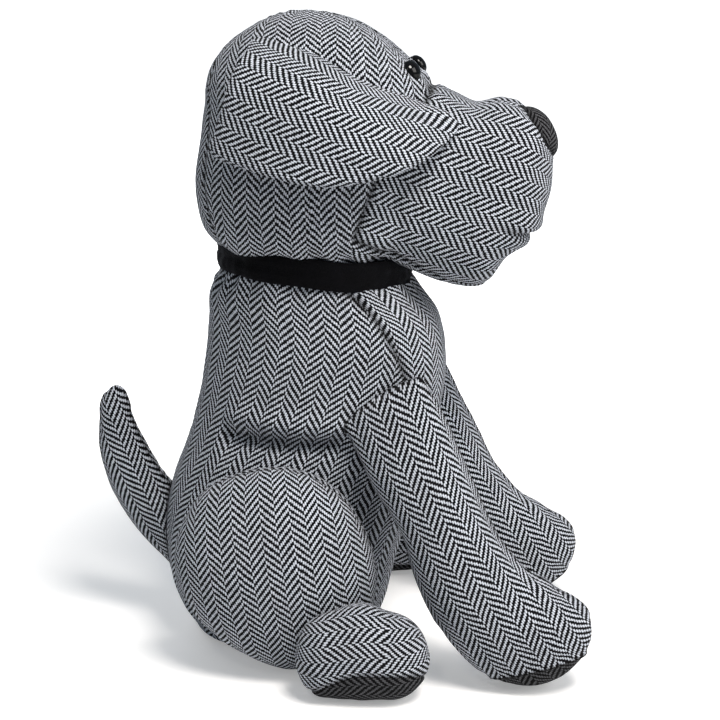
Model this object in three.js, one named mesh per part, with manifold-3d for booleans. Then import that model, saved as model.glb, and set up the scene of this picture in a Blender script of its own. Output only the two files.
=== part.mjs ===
// A weighted door stop in the form of a sitting dog, sewn from woven cloth and stuffed.
// Millimetres. +X is the way the dog looks, +Y its left side, +Z up, and the floor is Z = 0.

import * as THREE from 'three';
import Module from 'manifold-3d';
import { mergeVertices } from 'three/addons/utils/BufferGeometryUtils.js';

const wasm = await Module();
wasm.setup();

// The gap kept between two pieces that are sewn or laid against each other.
const clearance = 0.3;

// Sections of the torso from the floor up: height, centre along X, half length, half width.
const torso = {
  sections: [
    { z: 4, x: -0.5, halfLength: 43.5, halfWidth: 43 },
    { z: 18, x: -2, halfLength: 50, halfWidth: 48 },
    { z: 42, x: -1.5, halfLength: 55, halfWidth: 50.5 },
    { z: 72, x: 5, halfLength: 58.5, halfWidth: 49.5 },
    { z: 102, x: 14, halfLength: 57, halfWidth: 47 },
    { z: 132, x: 19, halfLength: 56, halfWidth: 45.5 },
    { z: 152, x: 18.5, halfLength: 53, halfWidth: 43.5 },
    { z: 165, x: 14.5, halfLength: 48, halfWidth: 41 },
    { z: 173, x: 14, halfLength: 42.5, halfWidth: 37 },
  ],
  foot: 4,
  shoulderDome: 7,
  squareness: 2.25,
};

// The pocket under the torso, the bag of grit in it and the panel sewn in to close it.
const pocket = { x: -0.5, halfLength: 38.5, halfWidth: 37.5, height: 118, dome: 14 };
const panel = { margin: 2, thickness: 2.6 };

// The neck carries the head, its ears, eyes and nose, and the collar. Their places are measured from it.
const neckRise = 5;
const neck = { x: 15, z: torso.sections.at(-1).z + neckRise };

const skull = {
  sections: [
    { z: 6, x: 0, halfLength: 40.5, halfWidth: 36.5 },
    { z: 11, x: 0, halfLength: 46, halfWidth: 42.5 },
    { z: 19, x: 0, halfLength: 51.5, halfWidth: 47 },
    { z: 37, x: -0.5, halfLength: 54, halfWidth: 49 },
    { z: 56, x: 0.5, halfLength: 52, halfWidth: 49 },
    { z: 72, x: 1, halfLength: 50, halfWidth: 47 },
  ],
  chinDome: 6,
  crownDome: 41,
  crownShift: -3,
  squareness: 2.3,
  domeSquareness: 2,
};

// Sections of the muzzle from the cheeks forward: distance along X, middle height, half height, half width.
const muzzle = {
  sections: [
    { x: 40, z: 41, halfHeight: 42, halfWidth: 38 },
    { x: 53, z: 36.5, halfHeight: 42.5, halfWidth: 37 },
    { x: 66, z: 32.5, halfHeight: 42, halfWidth: 35.5 },
    { x: 77, z: 33, halfHeight: 41.5, halfWidth: 35 },
    { x: 86.5, z: 37.5, halfHeight: 33.5, halfWidth: 33 },
  ],
  cheekDome: 18,
  lipDome: 21,
  lipRise: 9.5,
  squareness: 2.6,
  domeSquareness: 2.1,
};

const nose = { x: 97.5, z: 58.2, length: 9, width: 14, height: 12.8, tilt: -34.5 };
const eye = { x: 44.5, y: 13.5, z: 88.5, radius: 4.8, depth: 3.9 };

// The ear's outline in side view, the line at even steps where it is sewn on, as x, spread and height,
// and how far out it hangs below.
const ear = {
  outline: [
    [-26.5, 97.5], [-23.5, 103], [-14, 102], [4.5, 97], [21, 88], [40, 79.5], [55.5, 72.5], [63.5, 68.5],
    [64.5, 64.5], [61, 61], [52.5, 54.5], [34, 47.5], [10, 44.5], [-20.5, 50], [-35.5, 54.2], [-40.5, 57.5],
    [-39.5, 61.5], [-35, 75.5], [-31.5, 88],
  ],
  root: [[-24, 25.5, 104], [-6, 35.5, 100], [12, 41, 94.5], [30, 40, 85], [48, 30, 77.5], [66, 29, 68]],
  centre: [12, 72],
  thickness: 4.6,
  rimSharpness: 5,
  hangSpread: 60,
  hangCentre: 3,
  hangReach: 76,
  fold: 12,
};

const collar = { x: -0.5, z: 1.5, halfLength: 43.2, halfWidth: 38.8, thickness: 4, width: 13, tilt: 5 };

// Right front leg and paw as one stuffed piece: centres of its sections, half depth and half breadth.
const frontLeg = {
  sections: [
    { at: [49, -45, 125.5], half: [21.5, 15] },
    { at: [56, -50.5, 110.5], half: [20.5, 17.5] },
    { at: [63.5, -56, 96.5], half: [20.2, 18] },
    { at: [73.5, -60.5, 79], half: [18.8, 18] },
    { at: [81, -63.5, 61.5], half: [20, 18.3] },
    { at: [88.5, -65, 47.5], half: [22, 18.5] },
    { at: [97.5, -66, 34], half: [25, 18.5] },
    { at: [108.5, -66.5, 26.5], half: [26.2, 18.5] },
    { at: [121, -67, 23.5], half: [23.2, 17.5] },
  ],
  shoulderCap: [-1, 1.5, 3],
  toeDome: 19,
  squareness: 2.25,
  leftSetBack: 3,
  leftTurnIn: 26,
};

// Right thigh: outline in side view, the height of its middle plane and its half thickness.
const thigh = {
  outline: [
    [-44, 50], [-41, 69], [-31, 84], [-15, 92.5], [2, 95.5], [18, 92.5], [31, 83], [40, 70], [46, 53],
    [46, 36], [40, 20], [26, 6], [8, 1.5], [-10, 7], [-27, 18], [-38, 31],
  ],
  centre: [2, 48],
  side: -57,
  thickness: 54,
  rimSharpness: 2.1,
};

const hindFoot = {
  sections: [
    { x: 27, z: 19.7, halfHeight: 19.5, halfWidth: 16 },
    { x: 41, z: 21.5, halfHeight: 22, halfWidth: 17.5 },
    { x: 53, z: 20, halfHeight: 19.6, halfWidth: 17 },
  ],
  side: -84,
  heelDome: 14.5,
  toeDome: 18.5,
  squareness: 2.05,
  leftInset: 12,
};

// The soles are the lowest part of each foot, up to a seam that rises towards the outside.
const sole = { front: { height: 6.5, rise: 10 }, hind: { height: 9.5, rise: 15 } };

const tail = {
  sections: [
    { at: [-42, 0, 34], half: [14, 10] },
    { at: [-58.5, 0, 52], half: [14, 10.5] },
    { at: [-70.5, 0, 69], half: [12.8, 10] },
    { at: [-77.5, 0, 86.5], half: [10.8, 8.5] },
    { at: [-80.5, 0, 102], half: [7.2, 6] },
  ],
  rootCap: [2.8, 0, -2.8],
  tipDome: 14,
  squareness: 2,
};

// Numbers of sides and rings in the meshes.
const torsoMesh = { sides: 32, rings: 20 };
const headMesh = { sides: 28, rings: 18 };
const limbMesh = { sides: 18, rings: 18 };
const footMesh = { sides: 18, rings: 12 };
const sheetMesh = { sides: 32, rings: 10 };
const smallMesh = { sides: 12, rings: 8 };
const collarMesh = { sides: 8, rings: 32 };

// The share of a stuffed shape's rings that each end's dome takes, and the sizes of construction forms.
const capShare = 0.22;
const mergeDistance = 1e-4;
const blockSize = 400;
const ringRadius = 2;

const cloth = { color: 0x7d8086, roughness: 0.95 };
const darkCloth = { color: 0x2b2b2e, roughness: 0.95 };
const velvet = { color: 0x0a0b10, roughness: 1 };
const bead = { color: 0x08070a, roughness: 0.12 };
const canvas = { color: 0x9a927f, roughness: 0.9 };

const alongX = { u: new THREE.Vector3(0, 1, 0), v: new THREE.Vector3(0, 0, 1) };
const alongZ = { u: new THREE.Vector3(1, 0, 0), v: new THREE.Vector3(0, 1, 0) };
const sideways = new THREE.Vector3(0, 1, 0);

// Closed geometry to a solid, with its seam vertices merged and its faces turned outwards.
function toSolid(geometry) {
  geometry.deleteAttribute('normal');
  geometry.deleteAttribute('uv');
  const merged = mergeVertices(geometry, mergeDistance);
  const vertProperties = Float32Array.from(merged.attributes.position.array);
  const triVerts = Uint32Array.from(merged.index.array);
  if (signedVolume(vertProperties, triVerts) < 0) {
    for (let i = 0; i < triVerts.length; i += 3) {
      [triVerts[i], triVerts[i + 1]] = [triVerts[i + 1], triVerts[i]];
    }
  }
  return new wasm.Manifold(new wasm.Mesh({ numProp: 3, vertProperties, triVerts }));
}

function signedVolume(points, triangles) {
  const [a, b, c] = [new THREE.Vector3(), new THREE.Vector3(), new THREE.Vector3()];
  let total = 0;
  for (let i = 0; i < triangles.length; i += 3) {
    a.fromArray(points, 3 * triangles[i]);
    b.fromArray(points, 3 * triangles[i + 1]);
    c.fromArray(points, 3 * triangles[i + 2]);
    total += a.dot(b.cross(c));
  }
  return total;
}

// A point on the unit superellipse at the angle given.
function roundedSquare(angle, squareness) {
  const power = 2 / squareness;
  const [c, s] = [Math.cos(angle), Math.sin(angle)];
  return [Math.sign(c) * Math.abs(c) ** power, Math.sign(s) * Math.abs(s) ** power];
}

// A stuffed shape: a sphere whose rings are moved onto sections along a line, with a dome at each end.
// plane gives the rings' fixed directions, or is left out where they stay square to the line.
function stuffed({ sections, startCap, endCap, squareness, domeSquareness, mesh, plane }, grow = 0) {
  const centres = new THREE.CatmullRomCurve3(sections.map((s) => s.at), false, 'catmullrom');
  const halves = new THREE.CatmullRomCurve3(
    sections.map((s) => new THREE.Vector3(s.half[0], s.half[1], 0)), false, 'catmullrom');
  const ball = new THREE.SphereGeometry(1, mesh.sides, mesh.rings);
  const { position, uv } = ball.attributes;
  for (let i = 0; i < position.count; i += 1) {
    const travel = 1 - uv.getY(i);
    const start = travel < capShare;
    const capped = start || travel > 1 - capShare;
    const line = THREE.MathUtils.clamp((travel - capShare) / (1 - 2 * capShare), 0, 1);
    const depth = capped ? (start ? capShare - travel : travel - 1 + capShare) / capShare : 0;
    const [shrink, reach] = roundedSquare(depth * Math.PI / 2, domeSquareness ?? squareness);
    const centre = centres.getPoint(line);
    const cap = start ? startCap : endCap;
    const half = halves.getPoint(line);
    const tangent = centres.getTangent(line);
    const directions = plane ?? {
      u: new THREE.Vector3().crossVectors(tangent, sideways).normalize(),
      v: sideways,
    };
    const [across, up] = roundedSquare(2 * Math.PI * uv.getX(i), squareness);
    const point = centre.clone()
      .addScaledVector(cap, reach * (1 + grow / cap.length()))
      .addScaledVector(directions.u, shrink * across * (half.x + grow))
      .addScaledVector(directions.v, shrink * up * (half.y + grow));
    position.setXYZ(i, point.x, point.y, point.z);
  }
  return toSolid(ball);
}

// A flat stuffed shape: a sphere squeezed onto an outline, laid on a sheet and given a thickness.
function pillow({ outline, centre, thickness, rimSharpness, mesh }, sheet, grow = 0) {
  const corners = outline.map(([x, z]) => new THREE.Vector3(x, 0, z));
  const rim = new THREE.CatmullRomCurve3(corners, true, 'centripetal');
  const middle = new THREE.Vector3(centre[0], 0, centre[1]);
  const ball = new THREE.SphereGeometry(1, mesh.sides, mesh.rings);
  const { position, uv } = ball.attributes;
  for (let i = 0; i < position.count; i += 1) {
    const polar = Math.PI * (1 - uv.getY(i));
    const outward = Math.sin(polar);
    const edge = rim.getPoint((uv.getX(i) + 1) % 1).sub(middle);
    edge.setLength(edge.length() + grow);
    const point = middle.clone().addScaledVector(edge, outward);
    const half = (thickness / 2 + grow) * (1 - outward ** rimSharpness) ** 0.5;
    position.setXYZ(i, point.x, sheet(point.x, point.z) + Math.sign(Math.cos(polar)) * half, point.z);
  }
  return toSolid(ball);
}

function ellipsoid(centre, radii, tilt, mesh, grow = 0) {
  const ball = new THREE.SphereGeometry(1, mesh.sides, mesh.rings);
  ball.scale(...radii.map((radius) => radius + grow));
  ball.rotateY(THREE.MathUtils.degToRad(tilt));
  ball.translate(...centre);
  return toSolid(ball);
}

// A large block whose top face passes through the point given and faces the normal given.
function blockBelow(point, normal) {
  const block = new THREE.BoxGeometry(blockSize, blockSize, blockSize);
  block.translate(0, 0, -blockSize / 2);
  block.applyQuaternion(new THREE.Quaternion().setFromUnitVectors(new THREE.Vector3(0, 0, 1), normal));
  block.translate(point.x, point.y, point.z);
  return toSolid(block);
}

function mirrored(solid) {
  return solid.mirror([0, 1, 0]);
}

function fromNeck(x, y, z) {
  return new THREE.Vector3(neck.x + x, y, neck.z + z);
}

// The torso's outer form, without its pocket.
function torsoForm(grow = 0) {
  return stuffed({
    sections: torso.sections.map((s) => ({
      at: new THREE.Vector3(s.x, 0, s.z), half: [s.halfLength, s.halfWidth],
    })),
    startCap: new THREE.Vector3(0, 0, -torso.foot),
    endCap: new THREE.Vector3(0, 0, torso.shoulderDome),
    squareness: torso.squareness,
    mesh: torsoMesh,
    plane: alongZ,
  }, grow);
}

// The space in the torso for the bag of grit, from the floor up.
function pocketForm(grow = 0) {
  const half = [pocket.halfLength, pocket.halfWidth];
  return stuffed({
    sections: [-pocket.dome, pocket.height / 2, pocket.height - pocket.dome].map((z) => ({
      at: new THREE.Vector3(pocket.x, 0, z), half,
    })),
    startCap: new THREE.Vector3(0, 0, -pocket.dome),
    endCap: new THREE.Vector3(0, 0, pocket.dome),
    squareness: torso.squareness,
    mesh: footMesh,
    plane: alongZ,
  }, grow);
}

// The bottom panel's outline, wider than the pocket, from the floor up to its thickness.
function panelForm(grow = 0) {
  const disc = new THREE.CylinderGeometry(1, 1, 2 * (panel.thickness + grow), torsoMesh.sides);
  disc.rotateX(Math.PI / 2);
  const spread = panel.margin + grow;
  disc.scale(pocket.halfLength + spread, pocket.halfWidth + spread, 1);
  disc.translate(pocket.x, 0, 0);
  return toSolid(disc);
}

const floorBlock = blockBelow(new THREE.Vector3(), new THREE.Vector3(0, 0, 1));

function buildTorso() {
  return torsoForm().subtract(pocketForm()).subtract(panelForm(clearance));
}

function buildPanel() {
  return panelForm().subtract(floorBlock);
}

function buildBallast() {
  const inside = pocketForm(-clearance);
  const up = new THREE.Vector3(0, 0, 1);
  return inside.subtract(blockBelow(up.clone().multiplyScalar(panel.thickness + clearance), up));
}

function headForm(grow = 0) {
  const dome = stuffed({
    sections: skull.sections.map((s) => ({
      at: fromNeck(s.x, 0, s.z), half: [s.halfLength, s.halfWidth],
    })),
    startCap: new THREE.Vector3(0, 0, -skull.chinDome),
    endCap: new THREE.Vector3(skull.crownShift, 0, skull.crownDome),
    squareness: skull.squareness,
    domeSquareness: skull.domeSquareness,
    mesh: headMesh,
    plane: alongZ,
  }, grow);
  return dome.add(muzzleForm(grow));
}

function muzzleForm(grow = 0) {
  return stuffed({
    sections: muzzle.sections.map((s) => ({
      at: fromNeck(s.x, 0, s.z), half: [s.halfWidth, s.halfHeight],
    })),
    startCap: new THREE.Vector3(-muzzle.cheekDome, 0, 0),
    endCap: new THREE.Vector3(muzzle.lipDome, 0, muzzle.lipRise),
    squareness: muzzle.squareness,
    domeSquareness: muzzle.domeSquareness,
    mesh: headMesh,
    plane: alongX,
  }, grow);
}

function noseForm(grow = 0) {
  const centre = fromNeck(nose.x, 0, nose.z).toArray();
  return ellipsoid(centre, [nose.length, nose.width, nose.height], nose.tilt, smallMesh, grow);
}

function eyeForm() {
  const centre = fromNeck(eye.x, -eye.y, eye.z).toArray();
  return ellipsoid(centre, [eye.depth, eye.radius, eye.radius], 0, smallMesh);
}

const earRoot = new THREE.CatmullRomCurve3(
  ear.root.map((p) => new THREE.Vector3(...p)), false, 'catmullrom');

// The side distance of the ear's middle sheet: out from its sewn root, then hanging down.
function earSheet(x, z) {
  const [forward, height] = [x - neck.x, z - neck.z];
  const [first, last] = [ear.root[0][0], ear.root.at(-1)[0]];
  const root = earRoot.getPoint(THREE.MathUtils.clamp((forward - first) / (last - first), 0, 1));
  const below = Math.max(root.z - height, 0);
  const across = (forward - ear.hangCentre) / ear.hangReach;
  const hang = ear.hangSpread * Math.sqrt(Math.max(1 - across * across, 0));
  return -(root.y + (hang - root.y) * (1 - Math.exp(-below / ear.fold)));
}

function earForm() {
  const outline = ear.outline.map(([x, z]) => [x + neck.x, z + neck.z]);
  const centre = [ear.centre[0] + neck.x, ear.centre[1] + neck.z];
  return pillow({ ...ear, outline, centre, mesh: sheetMesh }, earSheet);
}

function collarForm() {
  const ring = new THREE.TorusGeometry(ringRadius, 1, collarMesh.sides, collarMesh.rings);
  const { position } = ring.attributes;
  for (let i = 0; i < position.count; i += 1) {
    const [x, y, z] = [position.getX(i), position.getY(i), position.getZ(i)];
    const round = Math.hypot(x, y);
    const out = (round - ringRadius) * collar.thickness / 2;
    const reach = [collar.halfLength + out, collar.halfWidth + out];
    position.setXYZ(i, x / round * reach[0], y / round * reach[1], z * collar.width / 2);
  }
  ring.rotateY(THREE.MathUtils.degToRad(collar.tilt));
  ring.translate(...fromNeck(collar.x, 0, collar.z).toArray());
  return toSolid(ring);
}

// The left front leg is sewn on a little further back, and its paw points further in.
function frontLegForm(side) {
  const [setBack, turnIn] = side === 'left' ? [frontLeg.leftSetBack, frontLeg.leftTurnIn] : [0, 0];
  const [top, bottom] = [frontLeg.sections[0].at[2], frontLeg.sections.at(-1).at[2]];
  const form = stuffed({
    sections: frontLeg.sections.map(({ at: [x, y, z], half }) => ({
      at: new THREE.Vector3(x - setBack, y + turnIn * (top - z) / (top - bottom), z), half,
    })),
    startCap: new THREE.Vector3(...frontLeg.shoulderCap),
    endCap: new THREE.Vector3(frontLeg.toeDome, 0, 0),
    squareness: frontLeg.squareness,
    mesh: limbMesh,
  });
  return side === 'left' ? mirrored(form) : form;
}

function thighForm(grow = 0) {
  return pillow({ ...thigh, mesh: sheetMesh }, () => thigh.side, grow);
}

// The left hind foot is sewn on nearer to the body than the right one.
function hindFootForm(side) {
  const inset = side === 'left' ? hindFoot.leftInset : 0;
  const form = stuffed({
    sections: hindFoot.sections.map((s) => ({
      at: new THREE.Vector3(s.x, hindFoot.side + inset, s.z), half: [s.halfWidth, s.halfHeight],
    })),
    startCap: new THREE.Vector3(-hindFoot.heelDome, 0, 0),
    endCap: new THREE.Vector3(hindFoot.toeDome, 0, 0),
    squareness: hindFoot.squareness,
    mesh: footMesh,
    plane: alongX,
  });
  return side === 'left' ? mirrored(form) : form;
}

function tailForm() {
  return stuffed({
    sections: tail.sections.map((s) => ({ at: new THREE.Vector3(...s.at), half: s.half })),
    startCap: new THREE.Vector3(...tail.rootCap),
    endCap: new THREE.Vector3(0, 0, tail.tipDome),
    squareness: tail.squareness,
    mesh: limbMesh,
  });
}

// Splits a foot at its sole seam, which tips up towards the outside, into the upper and the sole.
function splitAtSole(foot, y, { height, rise }, side) {
  const outwards = side === 'right' ? 1 : -1;
  const angle = THREE.MathUtils.degToRad(outwards * rise);
  const normal = new THREE.Vector3(0, Math.sin(angle), Math.cos(angle));
  const seam = new THREE.Vector3(0, outwards * y, height);
  const above = seam.clone().addScaledVector(normal, clearance);
  return {
    upper: foot.subtract(blockBelow(above, normal)),
    under: foot.intersect(blockBelow(seam, normal)),
  };
}

const object = new THREE.Group();

function addPiece(name, solid, finish) {
  const { vertProperties, triVerts } = solid.getMesh();
  const geometry = new THREE.BufferGeometry();
  geometry.setAttribute('position', new THREE.BufferAttribute(vertProperties, 3));
  geometry.setIndex(new THREE.BufferAttribute(triVerts, 1));
  geometry.computeVertexNormals();
  const mesh = new THREE.Mesh(geometry, new THREE.MeshStandardMaterial(finish));
  mesh.name = name;
  object.add(mesh);
}

function addPair(name, solid, finish) {
  addPiece(`${name}_right`, solid, finish);
  addPiece(`${name}_left`, mirrored(solid), finish);
}

const torsoSpace = torsoForm(clearance);
const headSpace = headForm(clearance);

addPiece('torso', buildTorso(), cloth);
addPiece('base_panel', buildPanel(), darkCloth);
addPiece('ballast_bag', buildBallast(), canvas);

// The head is hollowed where the nose sits in it.
addPiece('head', headForm().subtract(torsoSpace).subtract(noseForm(clearance)), cloth);
addPiece('nose', noseForm(), darkCloth);
addPair('eye', eyeForm().subtract(headSpace), bead);
addPair('ear', earForm().subtract(headSpace), cloth);
addPiece('collar', collarForm().subtract(torsoSpace).subtract(headSpace), velvet);

addPair('hind_leg', thighForm().subtract(torsoSpace).subtract(floorBlock), cloth);

const thighSpace = { right: thighForm(clearance), left: mirrored(thighForm(clearance)) };
for (const side of ['right', 'left']) {
  const pawY = frontLeg.sections.at(-1).at[1] + (side === 'left' ? frontLeg.leftTurnIn : 0);
  const leg = frontLegForm(side).subtract(torsoSpace).subtract(floorBlock);
  const paw = splitAtSole(leg, pawY, sole.front, side);
  addPiece(`front_leg_${side}`, paw.upper, cloth);
  addPiece(`front_sole_${side}`, paw.under, darkCloth);

  const footY = hindFoot.side + (side === 'left' ? hindFoot.leftInset : 0);
  const wholeFoot = hindFootForm(side).subtract(thighSpace[side]).subtract(torsoSpace).subtract(floorBlock);
  const foot = splitAtSole(wholeFoot, footY, sole.hind, side);
  addPiece(`hind_foot_${side}`, foot.upper, cloth);
  addPiece(`hind_sole_${side}`, foot.under, darkCloth);
}

addPiece('tail', tailForm().subtract(torsoSpace), cloth);

export default object;
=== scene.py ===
import math

import bmesh
import bpy
import numpy as np
from mathutils import Matrix, Vector, noise
from mathutils.bvhtree import BVHTree


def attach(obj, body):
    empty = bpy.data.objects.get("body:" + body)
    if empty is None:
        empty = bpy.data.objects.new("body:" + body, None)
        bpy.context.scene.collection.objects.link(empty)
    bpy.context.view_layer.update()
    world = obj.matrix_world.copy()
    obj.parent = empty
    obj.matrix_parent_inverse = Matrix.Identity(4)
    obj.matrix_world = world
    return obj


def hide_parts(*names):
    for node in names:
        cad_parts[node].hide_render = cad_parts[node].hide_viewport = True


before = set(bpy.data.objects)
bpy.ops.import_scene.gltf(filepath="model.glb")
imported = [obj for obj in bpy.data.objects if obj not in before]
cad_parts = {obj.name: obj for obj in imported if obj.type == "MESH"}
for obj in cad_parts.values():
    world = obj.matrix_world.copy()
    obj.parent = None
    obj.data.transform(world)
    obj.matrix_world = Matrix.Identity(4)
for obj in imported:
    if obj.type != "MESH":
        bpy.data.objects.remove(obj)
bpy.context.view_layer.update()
metre = 1000  # the shapes below are in millimetres, as the solids are

view = {
    "place": (0.09564, -0.86721, 0.36344),
    "turn": (75, 0, 4),
    "lens": 97,
}
camera = bpy.data.cameras.new("camera")
camera.lens = view["lens"]
camera.sensor_width = 36
cameraObject = bpy.data.objects.new("camera", camera)
cameraObject.location = view["place"]
cameraObject.rotation_euler = [math.radians(a) for a in view["turn"]]
bpy.context.collection.objects.link(cameraObject)
bpy.context.scene.camera = cameraObject
bpy.context.scene.view_settings.view_transform = "Standard"


# Shader helpers.
def feed(tree, node, inputs):
    for name, value in inputs.items():
        if isinstance(value, bpy.types.NodeSocket):
            tree.links.new(value, node.inputs[name])
        else:
            node.inputs[name].default_value = value


def addNode(tree, kind, inputs=None, **settings):
    node = tree.nodes.new(kind)
    for name, value in settings.items():
        setattr(node, name, value)
    feed(tree, node, inputs or {})
    return node


def newMaterial(name):
    material = bpy.data.materials.new(name)
    material.use_nodes = True
    tree = material.node_tree
    return material, tree, tree.nodes["Principled BSDF"]


def maths(tree, operation, *values):
    inputs = dict(enumerate(values))
    return addNode(tree, "ShaderNodeMath", inputs, operation=operation).outputs[0]


def mixColour(tree, share, first, second):
    return addNode(tree, "ShaderNodeMix", {0: share, 6: first, 7: second}, data_type="RGBA").outputs[2]


def noiseOf(tree, place, scale, detail, **more):
    inputs = {"Vector": place, "Scale": scale, "Detail": detail, **more}
    return addNode(tree, "ShaderNodeTexNoise", inputs).outputs[0]


def newGroup(name, inputs, outputs):
    group = bpy.data.node_groups.new(name, "ShaderNodeTree")
    for label, kind, value in inputs:
        socket = group.interface.new_socket(label, in_out="INPUT", socket_type=kind)
        if value is not None:
            socket.default_value = value
    for label, kind in outputs:
        group.interface.new_socket(label, in_out="OUTPUT", socket_type=kind)
    source = group.nodes.new("NodeGroupInput").outputs
    sink = group.nodes.new("NodeGroupOutput").inputs
    return group, source, sink


# Broken herringbone: eight yarns to a band, each yarn two up and two down, the bands turning about.
def makeHerringbone():
    group, source, sink = newGroup(
        "herringbone",
        [
            ("Place", "NodeSocketVector", None),
            ("Yarn", "NodeSocketFloat", 0.00078),
            ("Light", "NodeSocketColor", (0.6, 0.6, 0.6, 1)),
            ("Dark", "NodeSocketColor", (0.01, 0.01, 0.01, 1)),
            ("Seam", "NodeSocketFloat", 0.0),
        ],
        [("Colour", "NodeSocketColor"), ("Height", "NodeSocketFloat"), ("Roughness", "NodeSocketFloat")],
    )
    place = addNode(group, "ShaderNodeSeparateXYZ", {0: source["Place"]})
    drift = noiseOf(group, source["Place"], 90.0, 1.0)
    driftBack = maths(group, "MULTIPLY", maths(group, "SUBTRACT", drift, 0.5), 1.1)
    across = maths(group, "ADD", maths(group, "DIVIDE", place.outputs[0], source["Yarn"]), driftBack)
    along = maths(group, "ADD", maths(group, "DIVIDE", place.outputs[1], source["Yarn"]), driftBack)
    end = maths(group, "FLOOR", across)
    parity = maths(group, "FLOORED_MODULO", maths(group, "FLOOR", maths(group, "DIVIDE", end, 8.0)), 2.0)
    turn = maths(group, "SUBTRACT", 1.0, maths(group, "MULTIPLY", parity, 2.0))
    yarnSeed = addNode(group, "ShaderNodeTexWhiteNoise", {"W": end}, noise_dimensions="1D").outputs["Value"]
    jitter = maths(group, "MULTIPLY", maths(group, "SUBTRACT", yarnSeed, 0.5), 0.35)
    phase = maths(group, "MULTIPLY_ADD", turn, end, along)
    phase = maths(group, "ADD", maths(group, "ADD", phase, parity), jitter)
    wobble = noiseOf(group, source["Place"], 800.0, 1.0)
    phase = maths(group, "MULTIPLY_ADD", maths(group, "SUBTRACT", wobble, 0.5), 0.9, phase)
    inRepeat = maths(group, "FLOORED_MODULO", phase, 4.0)
    swing = maths(group, "ABSOLUTE", maths(group, "SUBTRACT", inRepeat, 2.0))
    up = addNode(
        group, "ShaderNodeMapRange", {"Value": swing, "From Min": 0.9, "From Max": 1.34},
        interpolation_type="SMOOTHSTEP",
    ).outputs[0]
    # each yarn's round: it raises the height, and it is also painted shade that darkens the yarn towards its
    # edges
    middle = maths(group, "SUBTRACT", maths(group, "FRACT", across), 0.5)
    squared = maths(group, "MULTIPLY", middle, middle)
    yarnRoundAndShade = maths(group, "SUBTRACT", 1.0, maths(group, "MULTIPLY", squared, 2.6))
    repeat = maths(group, "FLOOR", maths(group, "DIVIDE", phase, 4.0))
    fleck = addNode(group, "ShaderNodeCombineXYZ", {0: end, 1: repeat}).outputs[0]
    fleckSeed = addNode(group, "ShaderNodeTexWhiteNoise", {"Vector": fleck}, noise_dimensions="2D")
    fibres = noiseOf(group, source["Place"], 2600.0, 2.0, Roughness=0.6)
    patches = noiseOf(group, source["Place"], 28.0, 2.0)
    bright = maths(group, "MULTIPLY_ADD", fleckSeed.outputs["Value"], 0.3, 0.78)
    bright = maths(group, "MULTIPLY", yarnRoundAndShade, bright)
    bright = maths(group, "MULTIPLY", bright, maths(group, "MULTIPLY_ADD", fibres, 0.7, 0.65))
    bright = maths(group, "MULTIPLY", bright, maths(group, "MULTIPLY_ADD", patches, 0.25, 0.88))
    share = maths(group, "MULTIPLY", up, bright)
    weave = mixColour(group, share, source["Dark"], source["Light"])
    # painted shade: seam grooves, creases and contact lines darken the weave here
    kept = maths(group, "SUBTRACT", 1.0, maths(group, "MULTIPLY", source["Seam"], 0.8))
    shaded = addNode(group, "ShaderNodeVectorMath", {0: weave, "Scale": kept}, operation="SCALE")
    group.links.new(shaded.outputs[0], sink["Colour"])
    lift = maths(group, "MULTIPLY", yarnRoundAndShade, maths(group, "MULTIPLY_ADD", up, 0.5, 0.5))
    group.links.new(maths(group, "MULTIPLY_ADD", fibres, 0.35, lift), sink["Height"])
    group.links.new(maths(group, "MULTIPLY_ADD", fibres, 0.2, 0.78), sink["Roughness"])
    return group


herringbone = makeHerringbone()


def clothMaterial(name, light, dark, yarn, sheen, sheenTint):
    material, tree, shader = newMaterial(name)
    place = addNode(tree, "ShaderNodeUVMap", uv_map="weave")
    # painted shade for grooves, creases and contact lines, stored on each piece
    paintedShade = addNode(tree, "ShaderNodeAttribute", attribute_name="paintedShade")
    inputs = {
        "Place": place.outputs[0], "Yarn": yarn, "Light": light, "Dark": dark, "Seam": paintedShade.outputs["Fac"],
    }
    group = addNode(tree, "ShaderNodeGroup", inputs, node_tree=herringbone)
    bump = addNode(
        tree, "ShaderNodeBump",
        {"Height": group.outputs["Height"], "Strength": 0.7, "Distance": 0.0004},
    )
    values = {
        "Base Color": group.outputs["Colour"],
        "Roughness": group.outputs["Roughness"],
        "Normal": bump.outputs[0],
        "Sheen Weight": sheen,
        "Sheen Roughness": 0.6,
        "Sheen Tint": sheenTint,
        "Specular IOR Level": 0.08,
    }
    feed(tree, shader, values)
    return material


tweed = clothMaterial(
    "tweed", light=(0.66, 0.7, 0.78, 1), dark=(0.002, 0.0024, 0.0036, 1), yarn=0.00083, sheen=0.03,
    sheenTint=(0.9, 0.8, 0.68, 1),
)
charcoal = clothMaterial(
    "charcoal", light=(0.11, 0.112, 0.12, 1), dark=(0.0015, 0.0015, 0.002, 1), yarn=0.00083, sheen=0.01,
    sheenTint=(0.8, 0.8, 0.8, 1),
)


def velvetMaterial():
    material, tree, shader = newMaterial("velvet")
    place = addNode(tree, "ShaderNodeTexCoord").outputs["Object"]
    pile = noiseOf(tree, place, 1700.0, 2.0)
    rubbed = noiseOf(tree, place, 140.0, 3.0)
    share = maths(tree, "MULTIPLY", pile, rubbed)
    colour = mixColour(tree, share, (0.0003, 0.0003, 0.0005, 1), (0.004, 0.004, 0.006, 1))
    bump = addNode(tree, "ShaderNodeBump", {"Height": pile, "Strength": 0.8, "Distance": 0.0006})
    values = {
        "Base Color": colour,
        "Roughness": maths(tree, "MULTIPLY_ADD", rubbed, 0.2, 0.8),
        "Normal": bump.outputs[0],
        "Sheen Weight": 0.12,
        "Sheen Roughness": 0.35,
        "Sheen Tint": (0.3, 0.33, 0.42, 1),
        "Specular IOR Level": 0.1,
    }
    feed(tree, shader, values)
    return material


velvet = velvetMaterial()


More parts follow.
